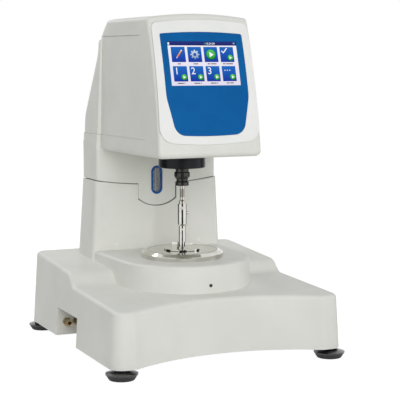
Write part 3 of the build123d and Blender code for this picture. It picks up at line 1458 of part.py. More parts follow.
def platform_front(height):
    return PLATFORM_CENTRE_Y - PLATFORM_RADIUS - draft_loss(PLATFORM_TOP - height, PLATFORM_DRAFT)


def level_plug():
    front = platform_front(LEVEL_PLUG_HEIGHT)
    plug = along_y(LEVEL_PLUG_RADIUS - ROUND_PLAY, front - LEVEL_PLUG_PROUD, front + CASING_WALL * 2, 0,
                   LEVEL_PLUG_HEIGHT)
    return plug - Pos(0, front - LEVEL_PLUG_PROUD, LEVEL_PLUG_HEIGHT) * Box(LEVEL_PLUG_RADIUS * 1.2, 1.6, 0.8)


def inlet_rear():
    return BASE_HALF_DEPTH + INLET_PROUD


def inlet_front():
    return BASE_HALF_DEPTH - INLET_DEPTH


def rocker_height():
    return INLET_HEIGHT - ROCKER_DROP


def rocker_pivot_y():
    return inlet_rear() - ROCKER_SINK


def socket_height():
    return INLET_HEIGHT + SOCKET_RISE


def power_inlet():
    half = INLET_WIDTH / 2
    tall = INLET_TALL / 2
    flange = block(INLET_X - half - INLET_RIM, INLET_X + half + INLET_RIM, inlet_front(), inlet_rear(),
                   INLET_HEIGHT - tall - INLET_RIM, INLET_HEIGHT + tall + INLET_RIM) - base_form(0)
    inlet = flange + block(INLET_X - half, INLET_X + half, inlet_front(), inlet_rear(),
                           INLET_HEIGHT - tall, INLET_HEIGHT + tall)
    inlet -= block(INLET_X - SOCKET_WIDTH / 2, INLET_X + SOCKET_WIDTH / 2, inlet_rear() - SOCKET_DEPTH,
                   inlet_rear() + 1, socket_height() - SOCKET_TALL / 2, socket_height() + SOCKET_TALL / 2)
    for x, drop in ((-PIN_SPACING, PIN_DROP), (0, -PIN_DROP), (PIN_SPACING, PIN_DROP)):
        left, low = INLET_X + x - PIN_WIDTH / 2, socket_height() - drop - PIN_TALL / 2
        inner = inlet_rear() - SOCKET_DEPTH
        inlet += block(left, left + PIN_WIDTH, inner, inner + PIN_LENGTH, low, low + PIN_TALL)
    pocket_half = ROCKER_WIDTH / 2 + SEAM
    pocket_tall = ROCKER_HALF_HEIGHT + ROCKER_CLEARANCE
    inlet -= block(INLET_X - pocket_half, INLET_X + pocket_half, rocker_pivot_y() - ROCKER_BODY_RADIUS - 2,
                   inlet_rear() + 1, rocker_height() - pocket_tall, rocker_height() + pocket_tall)
    pin_half = ROCKER_WIDTH / 2 + ROCKER_PIN_END + SEAM
    return inlet - along_x(ROCKER_PIN_RADIUS + ROUND_PLAY, INLET_X - pin_half, INLET_X + pin_half,
                           rocker_pivot_y(), rocker_height())


def power_rocker():
    tall = ROCKER_HALF_HEIGHT
    rim = ROCKER_FACE - ROCKER_RIM
    face = make_face(Polyline((0, -ROCKER_BODY_RADIUS), (rim, -tall), (ROCKER_FACE, -tall),
                              (ROCKER_FACE - ROCKER_DISH, 0), (ROCKER_FACE, tall), (rim, tall),
                              (0, ROCKER_BODY_RADIUS), close=True))
    face += Circle(ROCKER_BELLY_RADIUS)
    rocker = extrude(Plane.YZ * face, ROCKER_WIDTH / 2, both=True)
    rocker += Rot(0, 90, 0) * Cylinder(ROCKER_PIN_RADIUS, ROCKER_WIDTH + ROCKER_PIN_END * 2)
    return Pos(INLET_X, rocker_pivot_y(), rocker_height()) * Rot(ROCKER_TILT, 0, 0) * rocker


def power_supply():
    width, depth, height = SUPPLY_SIZE
    x, y = SUPPLY_CORNER
    low = BASE_BOTTOM + BASE_PLATE_THICKNESS
    supply = block(x, x + width, y, y + depth, low, low + height)
    return fillet(supply.edges().filter_by(Axis.Z), 3)


def export(name, shape):
    export_step(shape, os.path.join("parts", name + ".step"))


def export_base():
    export("base_housing", base_housing())
    export("base_plate", base_plate())
    export("base_screws", base_screws())
    export("foot_inserts", foot_inserts())
    export("chamber_disc", chamber_disc())
    export("disc_screws", disc_screws())
    export("heat_exchanger", heat_exchanger())
    export("coolant_pipes", coolant_pipes())
    export("hose_fittings", hose_fittings())
    export("power_inlet", power_inlet())
    export("power_rocker", power_rocker())
    export("power_supply", power_supply())
    export("screw_caps", screw_caps())
    export("level_plug", level_plug())
    for place, (x, y) in foot_places().items():
        export("foot_pad_" + place, foot_pad(x, y))
        export("foot_screw_" + place, foot_screw(x, y))


def export_lift():
    export("column_frame", column_frame())
    export("rod_bushings", rod_bushings())
    export("column_core", column_core())
    export("height_scale", height_scale())
    export("lift_motor", lift_motor())
    export("screw_seat", screw_seat())
    export("lead_screw", lead_screw())
    export("guide_rods", guide_rods())
    export("lift_yoke", lift_yoke())
    export("lead_nut", lead_nut())
    export("chassis_plate", chassis_plate())


def export_head():
    export("carriage_shell", carriage_shell())
    export("head_rear_cover", head_rear_cover())
    export("cover_screws", cover_screws())
    export("head_front_mask", head_front_mask())
    export("fascia_panel", fascia_panel())
    export("touch_glass", touch_glass())
    export("display_module", display_module())
    export("display_bracket", display_bracket())
    export("main_board", main_board())
    export("window_bezel", window_bezel())
    export("window_lens", window_lens())


def export_drive():
    export("drive_housing", drive_housing())
    export("drive_bearings", drive_bearings())
    export("drive_stator", drive_stator())
    export("flange_ring", flange_ring())
    export("ring_screws", ring_screws())
    export("drive_shaft", drive_shaft())
    export("drive_magnet", drive_magnet())
    export("encoder_disc", encoder_disc())
    export("coupling_core", coupling_core())
    export("coupling_sleeve", coupling_sleeve())
    export("coupling_spring", coupling_spring())
    export("spindle_stem", spindle_stem())
    export("spindle_barrel", spindle_barrel())
    export("sleeve_screw", sleeve_screw())
    export("spindle_tube", spindle_tube())
    export("measuring_plate", measuring_plate())


os.makedirs("parts", exist_ok=True)
export_base()
export_lift()
export_drive()
export_head()
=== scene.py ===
import math

import bmesh
import bpy
from mathutils import Matrix, Vector


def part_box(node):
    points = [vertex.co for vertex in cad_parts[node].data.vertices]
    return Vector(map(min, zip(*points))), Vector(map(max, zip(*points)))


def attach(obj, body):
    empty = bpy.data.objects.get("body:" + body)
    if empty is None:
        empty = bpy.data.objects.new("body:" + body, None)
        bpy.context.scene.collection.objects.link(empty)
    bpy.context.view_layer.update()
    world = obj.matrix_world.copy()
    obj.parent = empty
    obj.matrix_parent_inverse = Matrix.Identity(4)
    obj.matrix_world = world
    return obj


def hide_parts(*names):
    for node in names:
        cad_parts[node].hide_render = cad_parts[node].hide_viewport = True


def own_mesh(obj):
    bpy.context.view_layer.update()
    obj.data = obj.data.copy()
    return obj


# A bench rheometer dressed around its CAD frame: finishes for every part, the page on the touch
# screen, the marks of the height scale, and a plain studio. Lengths are written in millimetres and
# turned to metres by mm().

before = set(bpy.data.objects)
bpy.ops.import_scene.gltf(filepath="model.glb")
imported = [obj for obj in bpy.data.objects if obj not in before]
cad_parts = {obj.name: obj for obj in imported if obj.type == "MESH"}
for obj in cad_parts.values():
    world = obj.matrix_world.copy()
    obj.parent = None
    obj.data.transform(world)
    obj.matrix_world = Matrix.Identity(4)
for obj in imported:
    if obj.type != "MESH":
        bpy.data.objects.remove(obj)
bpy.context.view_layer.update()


def mm(*lengths):
    metres = [length / 1000 for length in lengths]
    return metres[0] if len(metres) == 1 else Vector(metres)


# Places that the CAD sets
SPINDLE_AXIS = mm(0, -13.8, 0)
GROOVES_LOW = 243.2
GROOVES_HIGH = 256.8
SCREEN_LEAN = math.radians(16.4)
GLASS_HEIGHT = 73.8
PAGE_WIDTH = 118.4
PAGE_HEIGHT = 71.6
SCALE_FRONT = 101.3
SCALE_LOW = 222.0
SCALE_HIGH = 384.0
SCALE_LEFT = -0.8
DECK_SLOT = mm(1.0, -142.0, 97.7)
INLET_MIDDLE = mm(96.0, 200.3, 62.0)
SPRING_WIRE = 0.8
SPRING_TURNS = 4
COIL_STEPS = 32
COIL_CORNERS = 10


# Colours and nodes

def linear(code, alpha=1.0):
    parts = [int(code[i:i + 2], 16) / 255 for i in (0, 2, 4)]
    return [p / 12.92 if p <= 0.04045 else ((p + 0.055) / 1.055) ** 2.4 for p in parts] + [alpha]


def add(tree, kind, links=None, **settings):
    node = tree.nodes.new(kind)
    for name, value in settings.items():
        setattr(node, name, value)
    for socket, source in (links or {}).items():
        if isinstance(source, bpy.types.NodeSocket):
            tree.links.new(source, node.inputs[socket])
        else:
            node.inputs[socket].default_value = source
    return node


def maths(tree, operation, *values):
    """The result of a Math node on numbers or outputs."""
    return add(tree, "ShaderNodeMath", dict(enumerate(values)), operation=operation).outputs[0]


class Finish:
    """One material and the patterns that can be laid on it."""

    def __init__(self, name, colour, roughness, metallic=0.0, **sockets):
        self.material = bpy.data.materials.new(name)
        self.material.use_nodes = True
        self.tree = self.material.node_tree
        self.shader = self.tree.nodes["Principled BSDF"]
        self.colour = colour
        self.set("Base Color", linear(colour))
        self.set("Roughness", roughness)
        self.set("Metallic", metallic)
        for socket, value in sockets.items():
            self.set(socket.replace("_", " "), value)
        self.place = add(self.tree, "ShaderNodeTexCoord").outputs["Object"]
        self.bump = None
        self.material.diffuse_color = linear(colour)

    def set(self, socket, value):
        self.shader.inputs[socket].default_value = value

    def feed(self, socket, output):
        self.tree.links.new(output, self.shader.inputs[socket])

    def noise(self, size, stretch=(1, 1, 1), detail=3.0):
        where = add(self.tree, "ShaderNodeMapping", {"Vector": self.place, "Scale": stretch})
        return add(self.tree, "ShaderNodeTexNoise", {
            "Vector": where.outputs["Vector"], "Scale": 1000 / size, "Detail": detail}).outputs["Fac"]

    def mottle(self, other, size, stretch=(1, 1, 1)):
        """The colour drifts between two tones over patches of the given size."""
        spread = add(self.tree, "ShaderNodeMapRange", {
            "Value": self.noise(size, stretch), "From Min": 0.35, "From Max": 0.65})
        return self.tones(spread.outputs["Result"], other)

    def tones(self, factor, other):
        mix = add(self.tree, "ShaderNodeMix", {0: factor, 6: linear(self.colour), 7: linear(other)},
                  data_type="RGBA")
        self.feed("Base Color", mix.outputs[2])
        return self

    def uneven_gloss(self, low, high, size, stretch=(1, 1, 1)):
        """The roughness wanders between two values, as handling and moulding leave it."""
        spread = add(self.tree, "ShaderNodeMapRange", {
            "Value": self.noise(size, stretch), "From Min": 0.3, "From Max": 0.7,
            "To Min": low, "To Max": high})
        self.feed("Roughness", spread.outputs["Result"])
        return self

    def relief(self, height, depth):
        """A bump of the given depth in millimetres, on top of those already there."""
        links = {"Height": height, "Distance": mm(depth), "Strength": 1.0}
        if self.bump is not None:
            links["Normal"] = self.bump
        self.bump = add(self.tree, "ShaderNodeBump", links).outputs["Normal"]
        self.feed("Normal", self.bump)
        return self

    def grain(self, size, depth, stretch=(1, 1, 1)):
        return self.relief(self.noise(size, stretch), depth)

    def wave(self, distance, pitch):
        turns = maths(self.tree, "MULTIPLY", distance, 2 * math.pi / mm(pitch))
        return maths(self.tree, "SINE", turns)

    def height(self):
        return add(self.tree, "ShaderNodeSeparateXYZ", {"Vector": self.place}).outputs["Z"]

    def radius(self):
        flat = add(self.tree, "ShaderNodeMapping", {
            "Vector": self.place, "Location": -SPINDLE_AXIS, "Scale": (1, 1, 0)}, vector_type="POINT")
        reach = add(self.tree, "ShaderNodeVectorMath", {0: flat.outputs["Vector"]}, operation="LENGTH")
        return reach.outputs["Value"]

    def turned_face(self, pitch, depth):
        """Rings round the spindle axis, as a facing cut on a lathe leaves them."""
        return self.relief(self.wave(self.radius(), pitch), depth)

    def turned_side(self, pitch, depth):
        """Rings up a turned side."""
        return self.relief(self.wave(self.height(), pitch), depth)


# Finishes

def casing_paint():
    # Satin polyurethane paint on moulded foam: warm off-white, a fine spray texture about 1 mm across.
    paint = Finish("satin_polyurethane_paint", "E9E9E3", 0.5, Coat_Weight=0.06, Coat_Roughness=0.35)
    paint.mottle("E3E4DD", 70).grain(1.1, 0.035)
    return paint.uneven_gloss(0.44, 0.56, 30)


def mask_plastic():
    # Moulded ABS with a spark-eroded grain of half a millimetre: a cleaner and brighter white.
    plastic = Finish("grained_abs_white", "F7F7F5", 0.42, Coat_Weight=0.08, Coat_Roughness=0.3)
    plastic.mottle("F3F4F1", 50).grain(0.7, 0.012)
    return plastic


def panel_film():
    # Polyester overlay printed blue from behind: an even blue under a matt face.
    film = Finish("printed_polyester_blue", "0063A8", 0.45, Specular_IOR_Level=0.12)
    film.mottle("005CA0", 45).grain(0.5, 0.004)
    return film


def rim_plastic():
    # Moulded acetal rim, a deep blue with a soft gloss.
    plastic = Finish("moulded_acetal_blue", "0A56A4", 0.4, Specular_IOR_Level=0.25)
    plastic.mottle("084C98", 12).grain(0.4, 0.006)
    return plastic


def cover_glass():
    # Strengthened glass over a dark display: near black with a clean gloss and faint fingermarks.
    glass = Finish("strengthened_glass_dark", "0A0D16", 0.12, Specular_IOR_Level=0.35)
    glass.mottle("0C1020", 25)
    return glass.uneven_gloss(0.08, 0.2, 18, (1, 0.5, 2))


def lit_page(name, low, high, glow=1.0):
    # A lit display behind glass: the colour glows as written, with the grid of its dots 0.6 mm apart,
    # drawn three times as coarse as the real one so that it shows.
    page = Finish(name, "05060A", 0.3, Specular_IOR_Level=0.05)
    rise = add(page.tree, "ShaderNodeAttribute", attribute_name="page_rise").outputs["Fac"]
    tone = add(page.tree, "ShaderNodeMix", {0: rise, 6: linear(low), 7: linear(high)}, data_type="RGBA")
    across = add(page.tree, "ShaderNodeSeparateXYZ", {"Vector": page.place}).outputs["X"]
    dots = add(page.tree, "ShaderNodeMapRange", {
        "Value": page.wave(across, 0.6), "From Min": -1.0, "From Max": 1.0, "To Min": 0.96, "To Max": 1.0})
    glowing = add(page.tree, "ShaderNodeMix", {0: 1.0, 6: tone.outputs[2], 7: dots.outputs["Result"]},
                  data_type="RGBA", blend_type="MULTIPLY")
    page.feed("Emission Color", glowing.outputs[2])
    page.set("Emission Strength", glow)
    return page


def clear_window():
    # Clear polycarbonate, 1 mm thick, slightly grey.
    window = Finish("clear_polycarbonate", "F2F5F6", 0.06, IOR=1.585, Transmission_Weight=1.0)
    return window.uneven_gloss(0.03, 0.12, 9)


def polished_disc():
    # Stainless steel, faced on a lathe and polished: rings half a millimetre apart catch the light.
    steel = Finish("polished_stainless_steel", "D8D7D0", 0.09, 1.0)
    steel.mottle("CCCBC3", 24).turned_face(0.5, 0.0008)
    return steel.uneven_gloss(0.06, 0.12, 16)


def turned_steel():
    # Stainless bar turned and polished: bright, with faint rings up the side.
    steel = Finish("turned_stainless_steel", "D8D7D2", 0.09, 1.0)
    steel.mottle("CAC9C3", 8).turned_side(0.4, 0.0006)
    return steel.uneven_gloss(0.06, 0.12, 7)


def grooved_stem():
    # The same bar with eight cut grooves, with dark brown painted shade laid in stripes at the grooves'
    # pitch.
    steel = Finish("grooved_steel_painted_groove_shade", "CFCBC2", 0.14, 1.0)
    steel.turned_side(0.4, 0.0008)
    height = steel.height()
    # Painted shade: dark brown stripes at the grooves' pitch, only between GROOVES_LOW and GROOVES_HIGH.
    painted_groove_shade = add(steel.tree, "ShaderNodeMapRange", {
        "Value": steel.wave(height, 1.7), "From Min": -0.1, "From Max": 0.45}).outputs["Result"]
    above = maths(steel.tree, "GREATER_THAN", height, mm(GROOVES_LOW))
    below = maths(steel.tree, "LESS_THAN", height, mm(GROOVES_HIGH))
    within = maths(steel.tree, "MULTIPLY", above, below)
    return steel.tones(maths(steel.tree, "MULTIPLY", within, painted_groove_shade), "5C4A3C")


def black_nickel():
    # Steel with a dark nickel skin, handled often: grey-black and smooth, brighter at its rims.
    metal = Finish("black_nickel_steel", "4B4B48", 0.24, 1.0)
    metal.mottle("3E3F3D", 6).turned_side(0.35, 0.001)
    return metal.uneven_gloss(0.18, 0.3, 8)


def black_anodised():
    # Black anodised aluminium, bead-blasted: a dark satin that still shows soft upright highlights.
    metal = Finish("black_anodised_aluminium", "0C1218", 0.34, 0.5)
    metal.mottle("090D12", 10).grain(0.35, 0.004)
    return metal.uneven_gloss(0.28, 0.4, 12)


def milled_aluminium():
    # Milled aluminium with upright brushed tool lines.
    metal = Finish("milled_aluminium", "B9BBBC", 0.36, 1.0)
    metal.mottle("B2B4B6", 6, (1, 1, 0.05)).grain(0.5, 0.005, (1, 1, 0.04))
    return metal.uneven_gloss(0.33, 0.4, 4, (1, 1, 0.05))


def cast_iron():
    # Sand-cast iron under a grey primer: matt and pitted.
    metal = Finish("primed_cast_iron", "565A5C", 0.7, 0.0)
    metal.mottle("4A4E50", 12).grain(1.6, 0.12)
    return metal


def brass():
    # Machined brass.
    metal = Finish("machined_brass", "B9975A", 0.28, 1.0)
    metal.mottle("A98648", 6).turned_side(0.5, 0.002)
    return metal.uneven_gloss(0.22, 0.36, 6)


def nickel_fitting():
    # Nickel-plated brass, warm grey with yellow where the plating has worn.
    metal = Finish("nickel_plated_brass", "B5AE9A", 0.25, 1.0)
    metal.mottle("A08A5C", 5).grain(0.5, 0.003)
    return metal.uneven_gloss(0.2, 0.34, 5)


def copper():
    # Drawn copper tube, dulled by air.
    metal = Finish("drawn_copper", "A9684B", 0.32, 1.0)
    metal.mottle("8C5038", 9).grain(0.6, 0.004)
    return metal


def windings():
    # Enamelled copper wire, 0.8 mm, wound in upright turns.
    wire = Finish("enamelled_copper_wire", "96502E", 0.35, 0.7)
    wire.mottle("7C3D22", 5).turned_side(0.8, 0.15)
    return wire


def zinc_steel():
    # Zinc-plated steel screws and seats.
    metal = Finish("zinc_plated_steel", "A9ABAA", 0.32, 1.0)
    metal.mottle("989A99", 3).grain(0.4, 0.004)
    return metal


def ground_rod():
    # Ground and hardened steel rod.
    metal = Finish("ground_steel_rod", "C4C5C6", 0.16, 1.0)
    metal.mottle("B4B6B8", 20).turned_side(0.3, 0.001)
    return metal


def rubber():
    # Moulded rubber with a matt skin.
    sole = Finish("moulded_black_rubber", "1F1F1F", 0.75)
    sole.mottle("282727", 6).grain(0.8, 0.03)
    return sole


def painted_foot():
    # Steel disc and stud blackened and lacquered: dark, with a sharp gloss on its bevel.
    disc = Finish("lacquered_black_steel", "1A1A1B", 0.22, 0.25, Coat_Weight=0.6, Coat_Roughness=0.12)
    disc.mottle("232324", 9).grain(0.6, 0.003)
    return disc.uneven_gloss(0.18, 0.3, 10)


def black_nylon():
    # Glass-filled nylon, matt black with a fine grain.
    plastic = Finish("glass_filled_nylon_black", "1D1E1F", 0.5)
    plastic.mottle("242526", 4).grain(0.5, 0.015)
    return plastic


def white_nylon():
    # Moulded nylon cap, whiter and glossier than the paint.
    plastic = Finish("moulded_nylon_white", "F4F4F2", 0.3, Coat_Weight=0.2, Coat_Roughness=0.2)
    plastic.mottle("EEEEEA", 3).grain(0.4, 0.005)
    return plastic


def circuit_board():
    # Green solder mask on glass cloth, with its weave 0.5 mm apart.
    board = Finish("solder_mask_green", "1B5A3C", 0.4)
    board.mottle("144A30", 3).grain(0.5, 0.01)
    return board


def scale_metal():
    # Grey anodised scale.
    strip = Finish("grey_anodised_scale", "5C6670", 0.38, 0.3)
    strip.mottle("525B65", 8, (4, 1, 1)).grain(0.4, 0.003)
    return strip


def white_ink():
    # Screen-printed ink, slightly uneven at its edge.
    ink = Finish("screen_printed_ink_white", "F2F2EC", 0.5)
    ink.mottle("E2E2DA", 0.8).grain(0.3, 0.004)
    return ink


FINISHES = {
    casing_paint: ["base_housing", "carriage_shell", "head_rear_cover"],
    mask_plastic: ["head_front_mask"],
    panel_film: ["fascia_panel"],
    rim_plastic: ["window_bezel"],
    cover_glass: ["touch_glass"],
    clear_window: ["window_lens"],
    polished_disc: ["chamber_disc", "measuring_plate"],
    turned_steel: ["spindle_barrel", "spindle_tube", "sleeve_screw"],
    grooved_stem: ["spindle_stem"],
    black_nickel: ["coupling_core", "coupling_sleeve"],
    black_anodised: ["flange_ring", "lift_motor", "drive_magnet"],
    milled_aluminium: ["base_plate", "heat_exchanger", "power_supply", "column_core", "lift_yoke",
                       "chassis_plate", "display_bracket", "drive_housing"],
    cast_iron: ["column_frame"],
    brass: ["foot_inserts", "rod_bushings", "lead_nut"],
    nickel_fitting: ["hose_fittings"],
    copper: ["coolant_pipes"],
    windings: ["drive_stator"],
    zinc_steel: ["base_screws", "disc_screws", "screw_seat", "cover_screws", "ring_screws", "drive_bearings",
                 "encoder_disc", "coupling_spring"],
    ground_rod: ["guide_rods", "lead_screw", "drive_shaft"],
    rubber: [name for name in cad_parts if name.startswith("foot_pad")],
    painted_foot: [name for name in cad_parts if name.startswith("foot_screw")],
    black_nylon: ["power_inlet", "level_plug", "display_module", "power_rocker"],
    white_nylon: ["screw_caps"],
    circuit_board: ["main_board"],
    scale_metal: ["height_scale"],
}


def dress_nodes():
    for finish, names in FINISHES.items():
        material = finish().material
        for name in names:
            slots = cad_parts[name].data.materials
            if len(slots) == 0:
                slots.append(material)
            for index in range(len(slots)):
                slots[index] = material


# Finished pieces

def finished(name, mesh, body):
    piece = bpy.data.objects.new(name, mesh)
    bpy.context.scene.collection.objects.link(piece)
    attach(piece, body)
    return piece


def screen_place():
    """Turns a point in the screen's own plane, in millimetres from its middle, into the frame."""
    low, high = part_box("touch_glass")
    half = mm(GLASS_HEIGHT / 2)
    middle = Vector((0, low.y + half * math.sin(SCREEN_LEAN), high.z - half * math.cos(SCREEN_LEAN)))
    return Matrix.Translation(middle) @ Matrix.Rotation(math.pi / 2 - SCREEN_LEAN, 4, "X")


class Page:
    """Flat shapes laid on the screen, each kind of colour in its own material slot."""

    def __init__(self):
        self.bm = bmesh.new()
        self.rise = self.bm.verts.layers.float.new("page_rise")

    def shape(self, outline, layer, colour):
        low = min(v for u, v in outline)
        span = max(v for u, v in outline) - low
        corners = []
        for u, v in outline:
            corner = self.bm.verts.new((mm(u), mm(v), mm(0.05 * layer)))
            corner[self.rise] = (v - low) / span
            corners.append(corner)
        face = self.bm.faces.new(corners)
        face.material_index = colour
        if face.normal.z < 0 or turned_clockwise(outline):
            face.normal_flip()

    def disc(self, u, v, radius, layer, colour, corners=28):
        self.shape(arc_points(u, v, radius, 0, 360, corners), layer, colour)

    def play(self, u, v, radius, layer):
        self.disc(u, v, radius, layer, DARK_GREEN)
        self.disc(u, v + radius * 0.06, radius * 0.9, layer + 1, GREEN)
        self.shape([(u - radius * 0.32, v - radius * 0.52), (u + radius * 0.56, v),
                    (u - radius * 0.32, v + radius * 0.52)], layer + 2, WHITE)

def arc_points(u, v, radius, start, end, steps):
    points = []
    for step in range(steps):
        angle = math.radians(start + (end - start) * step / steps)
        points.append((u + radius * math.cos(angle), v + radius * math.sin(angle)))
    return points


def rounded(u, v, width, height, corner):
    points = []
    for index, (sx, sy) in enumerate(((1, 1), (-1, 1), (-1, -1), (1, -1))):
        centre_u = u + sx * (width / 2 - corner)
        centre_v = v + sy * (height / 2 - corner)
        points += arc_points(centre_u, centre_v, corner, 90 * index, 90 * index + 112.5, 5)
    return points


def turned_clockwise(outline):
    area = 0
    for (ua, va), (ub, vb) in zip(outline, outline[1:] + outline[:1]):
        area += ua * vb - ub * va
    return area < 0


def bar(start, end, width):
    along = Vector(end) - Vector(start)
    side = Vector((-along.y, along.x)).normalized() * width / 2
    return [tuple(Vector(start) - side), tuple(Vector(end) - side), tuple(Vector(end) + side),
            tuple(Vector(start) + side)]


# The page's colours, in the order of its material slots
PAPER, NAVY, BLUE, WHITE, GREEN, DARK_GREEN, ORANGE, STEEL, CAPTION = range(9)
PAGE_COLOURS = (
    ("lit_page_paper", "E4E0F0", "F3F1FA"),
    ("lit_page_navy", "171F63", "2B3480"),
    ("lit_page_blue", "1233A0", "1C6AC0"),
    ("lit_page_white", "F4F4FF", "FFFFFF"),
    ("lit_page_green", "1E9A30", "5CC860"),
    ("lit_page_dark_green", "0C5C1A", "1A8030"),
    ("lit_page_orange", "E8742A", "FFC060"),
    ("lit_page_steel", "7C97B8", "D8E4EE"),
    ("lit_page_caption", "5A3A48", "6A4C5A"),
)

TILE_WIDTH = 23.4
TILE_HEIGHT = 24.4
TILE_COLUMNS = (-41.4, -13.8, 13.9, 41.0)
TILE_ROWS = (14.6, -16.2)
CAPTION_HEIGHT = 1.5
CAPTION_DROP = 15.0


def header(page):
    top = PAGE_HEIGHT / 2
    page.shape(rounded(0, top - 3.4, PAGE_WIDTH, 6.8, 0.3), 2, NAVY)
    left = -PAGE_WIDTH / 2 + 3.2
    page.shape([(left - 1.9, top - 3.3), (left + 1.9, top - 3.3), (left, top - 1.3)], 3, WHITE)
    page.shape(rounded(left, top - 4.5, 2.6, 2.4, 0.2), 3, WHITE)
    page.disc(PAGE_WIDTH / 2 - 4.2, top - 3.4, 1.5, 3, STEEL)
    page.disc(PAGE_WIDTH / 2 - 4.2, top - 3.4, 0.7, 4, NAVY)
    page.shape([(3.4, top - 4.6), (5.4, top - 4.6), (4.4, top - 2.0)], 3, GREEN)


def pencil(page, u, v):
    page.shape(bar((u - 3.0, v - 4.2), (u + 5.4, v + 6.8), 2.1), 4, ORANGE)
    page.shape(bar((u + 4.5, v + 5.6), (u + 5.7, v + 7.2), 2.1), 5, PAPER)
    page.shape([(u - 4.6, v - 6.3), (u - 2.2, v - 4.8), (u - 3.9, v - 3.5)], 4, PAPER)


def gear(page, u, v):
    teeth = 8
    points = []
    for tooth in range(teeth):
        for part, radius in ((-0.30, 5.4), (-0.18, 7.6), (0.18, 7.6), (0.30, 5.4)):
            angle = 2 * math.pi * (tooth + part) / teeth
            points.append((u + radius * math.cos(angle), v + radius * math.sin(angle)))
    page.shape(points, 4, STEEL)
    page.disc(u, v, 2.6, 5, BLUE)


def tick_mark(page, u, v):
    page.shape(bar((u - 5.2, v + 0.8), (u - 1.9, v - 2.6), 1.7), 4, WHITE)
    page.shape(bar((u - 2.5, v - 2.5), (u + 4.2, v + 5.4), 1.7), 5, WHITE)


def captions(page, u, v, lengths):
    start = u - (sum(lengths) + 1.1 * (len(lengths) - 1)) / 2
    for length in lengths:
        page.shape(rounded(start + length / 2, v, length, CAPTION_HEIGHT, 0.3), 2, CAPTION)
        start += length + 1.1


def page_shapes():
    page = Page()
    page.shape(rounded(0, 0, PAGE_WIDTH, PAGE_HEIGHT, 0.4), 1, PAPER)
    header(page)
    high, low = TILE_ROWS
    pencil(page, TILE_COLUMNS[0] + 0.6, high)
    gear(page, TILE_COLUMNS[1], high)
    page.play(TILE_COLUMNS[2] - 0.2, high - 0.2, 8.4, 4)
    tick_mark(page, TILE_COLUMNS[3] - 3.4, high + 5.0)
    page.play(TILE_COLUMNS[3] + 5.4, high - 5.2, 5.0, 4)
    for column in TILE_COLUMNS:
        page.play(column + 5.6, low - 5.4, 4.9, 4)
    for step in (-1, 0, 1):
        page.disc(TILE_COLUMNS[3] - 2.4 + step * 4.2, low + 5.4, 0.9, 4, WHITE, 16)
    words = (((5.5,), (7.5,), (4.5, 9.5), (4.5, 12.0)), ((10.0, 1.5),) * 3 + ((5.0, 6.0),))
    for row, middle in zip(words, TILE_ROWS):
        for column, lengths in zip(TILE_COLUMNS, row):
            captions(page, column, middle - CAPTION_DROP, lengths)
    mesh = bpy.data.meshes.new("screen_page")
    page.bm.to_mesh(mesh)
    page.bm.free()
    return mesh


def page_materials():
    return [lit_page(*colour).material for colour in PAGE_COLOURS]


# Geometry Nodes

INK_THICKNESS = 0.06


def new_tree(name, inputs):
    tree = bpy.data.node_groups.new(name, "GeometryNodeTree")
    tree.interface.new_socket("Geometry", in_out="OUTPUT", socket_type="NodeSocketGeometry")
    for label, kind in inputs.items():
        tree.interface.new_socket(label, in_out="INPUT", socket_type="NodeSocket" + kind)
    start = add(tree, "NodeGroupInput").outputs
    return tree, start


def close_tree(tree, geometry):
    solid = add(tree, "GeometryNodeRealizeInstances", {"Geometry": geometry})
    start = next(node for node in tree.nodes if node.bl_idname == "NodeGroupInput")
    painted = add(tree, "GeometryNodeSetMaterial", {
        "Geometry": solid.outputs[0], "Material": start.outputs["Material"]})
    add(tree, "NodeGroupOutput", {"Geometry": painted.outputs[0]})


def grown(name, tree, values):
    """Runs a tree once and gives its result as a plain mesh."""
    holder = bpy.data.objects.new(name, bpy.data.meshes.new(name + "_seed"))
    bpy.context.scene.collection.objects.link(holder)
    modifier = holder.modifiers.new("grow", "NODES")
    modifier.node_group = tree
    for item in tree.interface.items_tree:
        if item.in_out == "INPUT" and item.name in values:
            modifier[item.identifier] = values[item.name]
    ready = holder.evaluated_get(bpy.context.evaluated_depsgraph_get())
    mesh = bpy.data.meshes.new_from_object(ready)
    holder.modifiers.remove(modifier)
    bpy.data.objects.remove(holder)
    mesh.name = name
    return mesh


def tile_tree():
    tree, start = new_tree("screen_tiles", {
        "Columns": "Int", "Rows": "Int", "Across": "Float", "Up": "Float", "Width": "Float",
        "Height": "Float", "Corner": "Float", "Material": "Material"})
    outline = add(tree, "GeometryNodeCurvePrimitiveQuadrilateral", {
        "Width": start["Width"], "Height": start["Height"]})
    soft = add(tree, "GeometryNodeFilletCurve", {
        "Curve": outline.outputs[0], "Radius": start["Corner"], "Count": 4}, mode="POLY")
    flat = add(tree, "GeometryNodeFillCurve", {"Curve": soft.outputs[0]}, mode="NGONS")
    rise = add(tree, "ShaderNodeSeparateXYZ", {"Vector": add(tree, "GeometryNodeInputPosition").outputs[0]})
    share = maths(tree, "DIVIDE", rise.outputs["Y"], start["Height"])
    marked = add(tree, "GeometryNodeStoreNamedAttribute", {
        "Geometry": flat.outputs[0], "Name": "page_rise", "Value": maths(tree, "ADD", share, 0.5)},
        data_type="FLOAT")
    grid = add(tree, "GeometryNodeMeshGrid", {
        "Size X": start["Across"], "Size Y": start["Up"], "Vertices X": start["Columns"],
        "Vertices Y": start["Rows"]})
    tiles = add(tree, "GeometryNodeInstanceOnPoints", {
        "Points": grid.outputs[0], "Instance": marked.outputs[0]})
    close_tree(tree, tiles.outputs[0])
    return tree


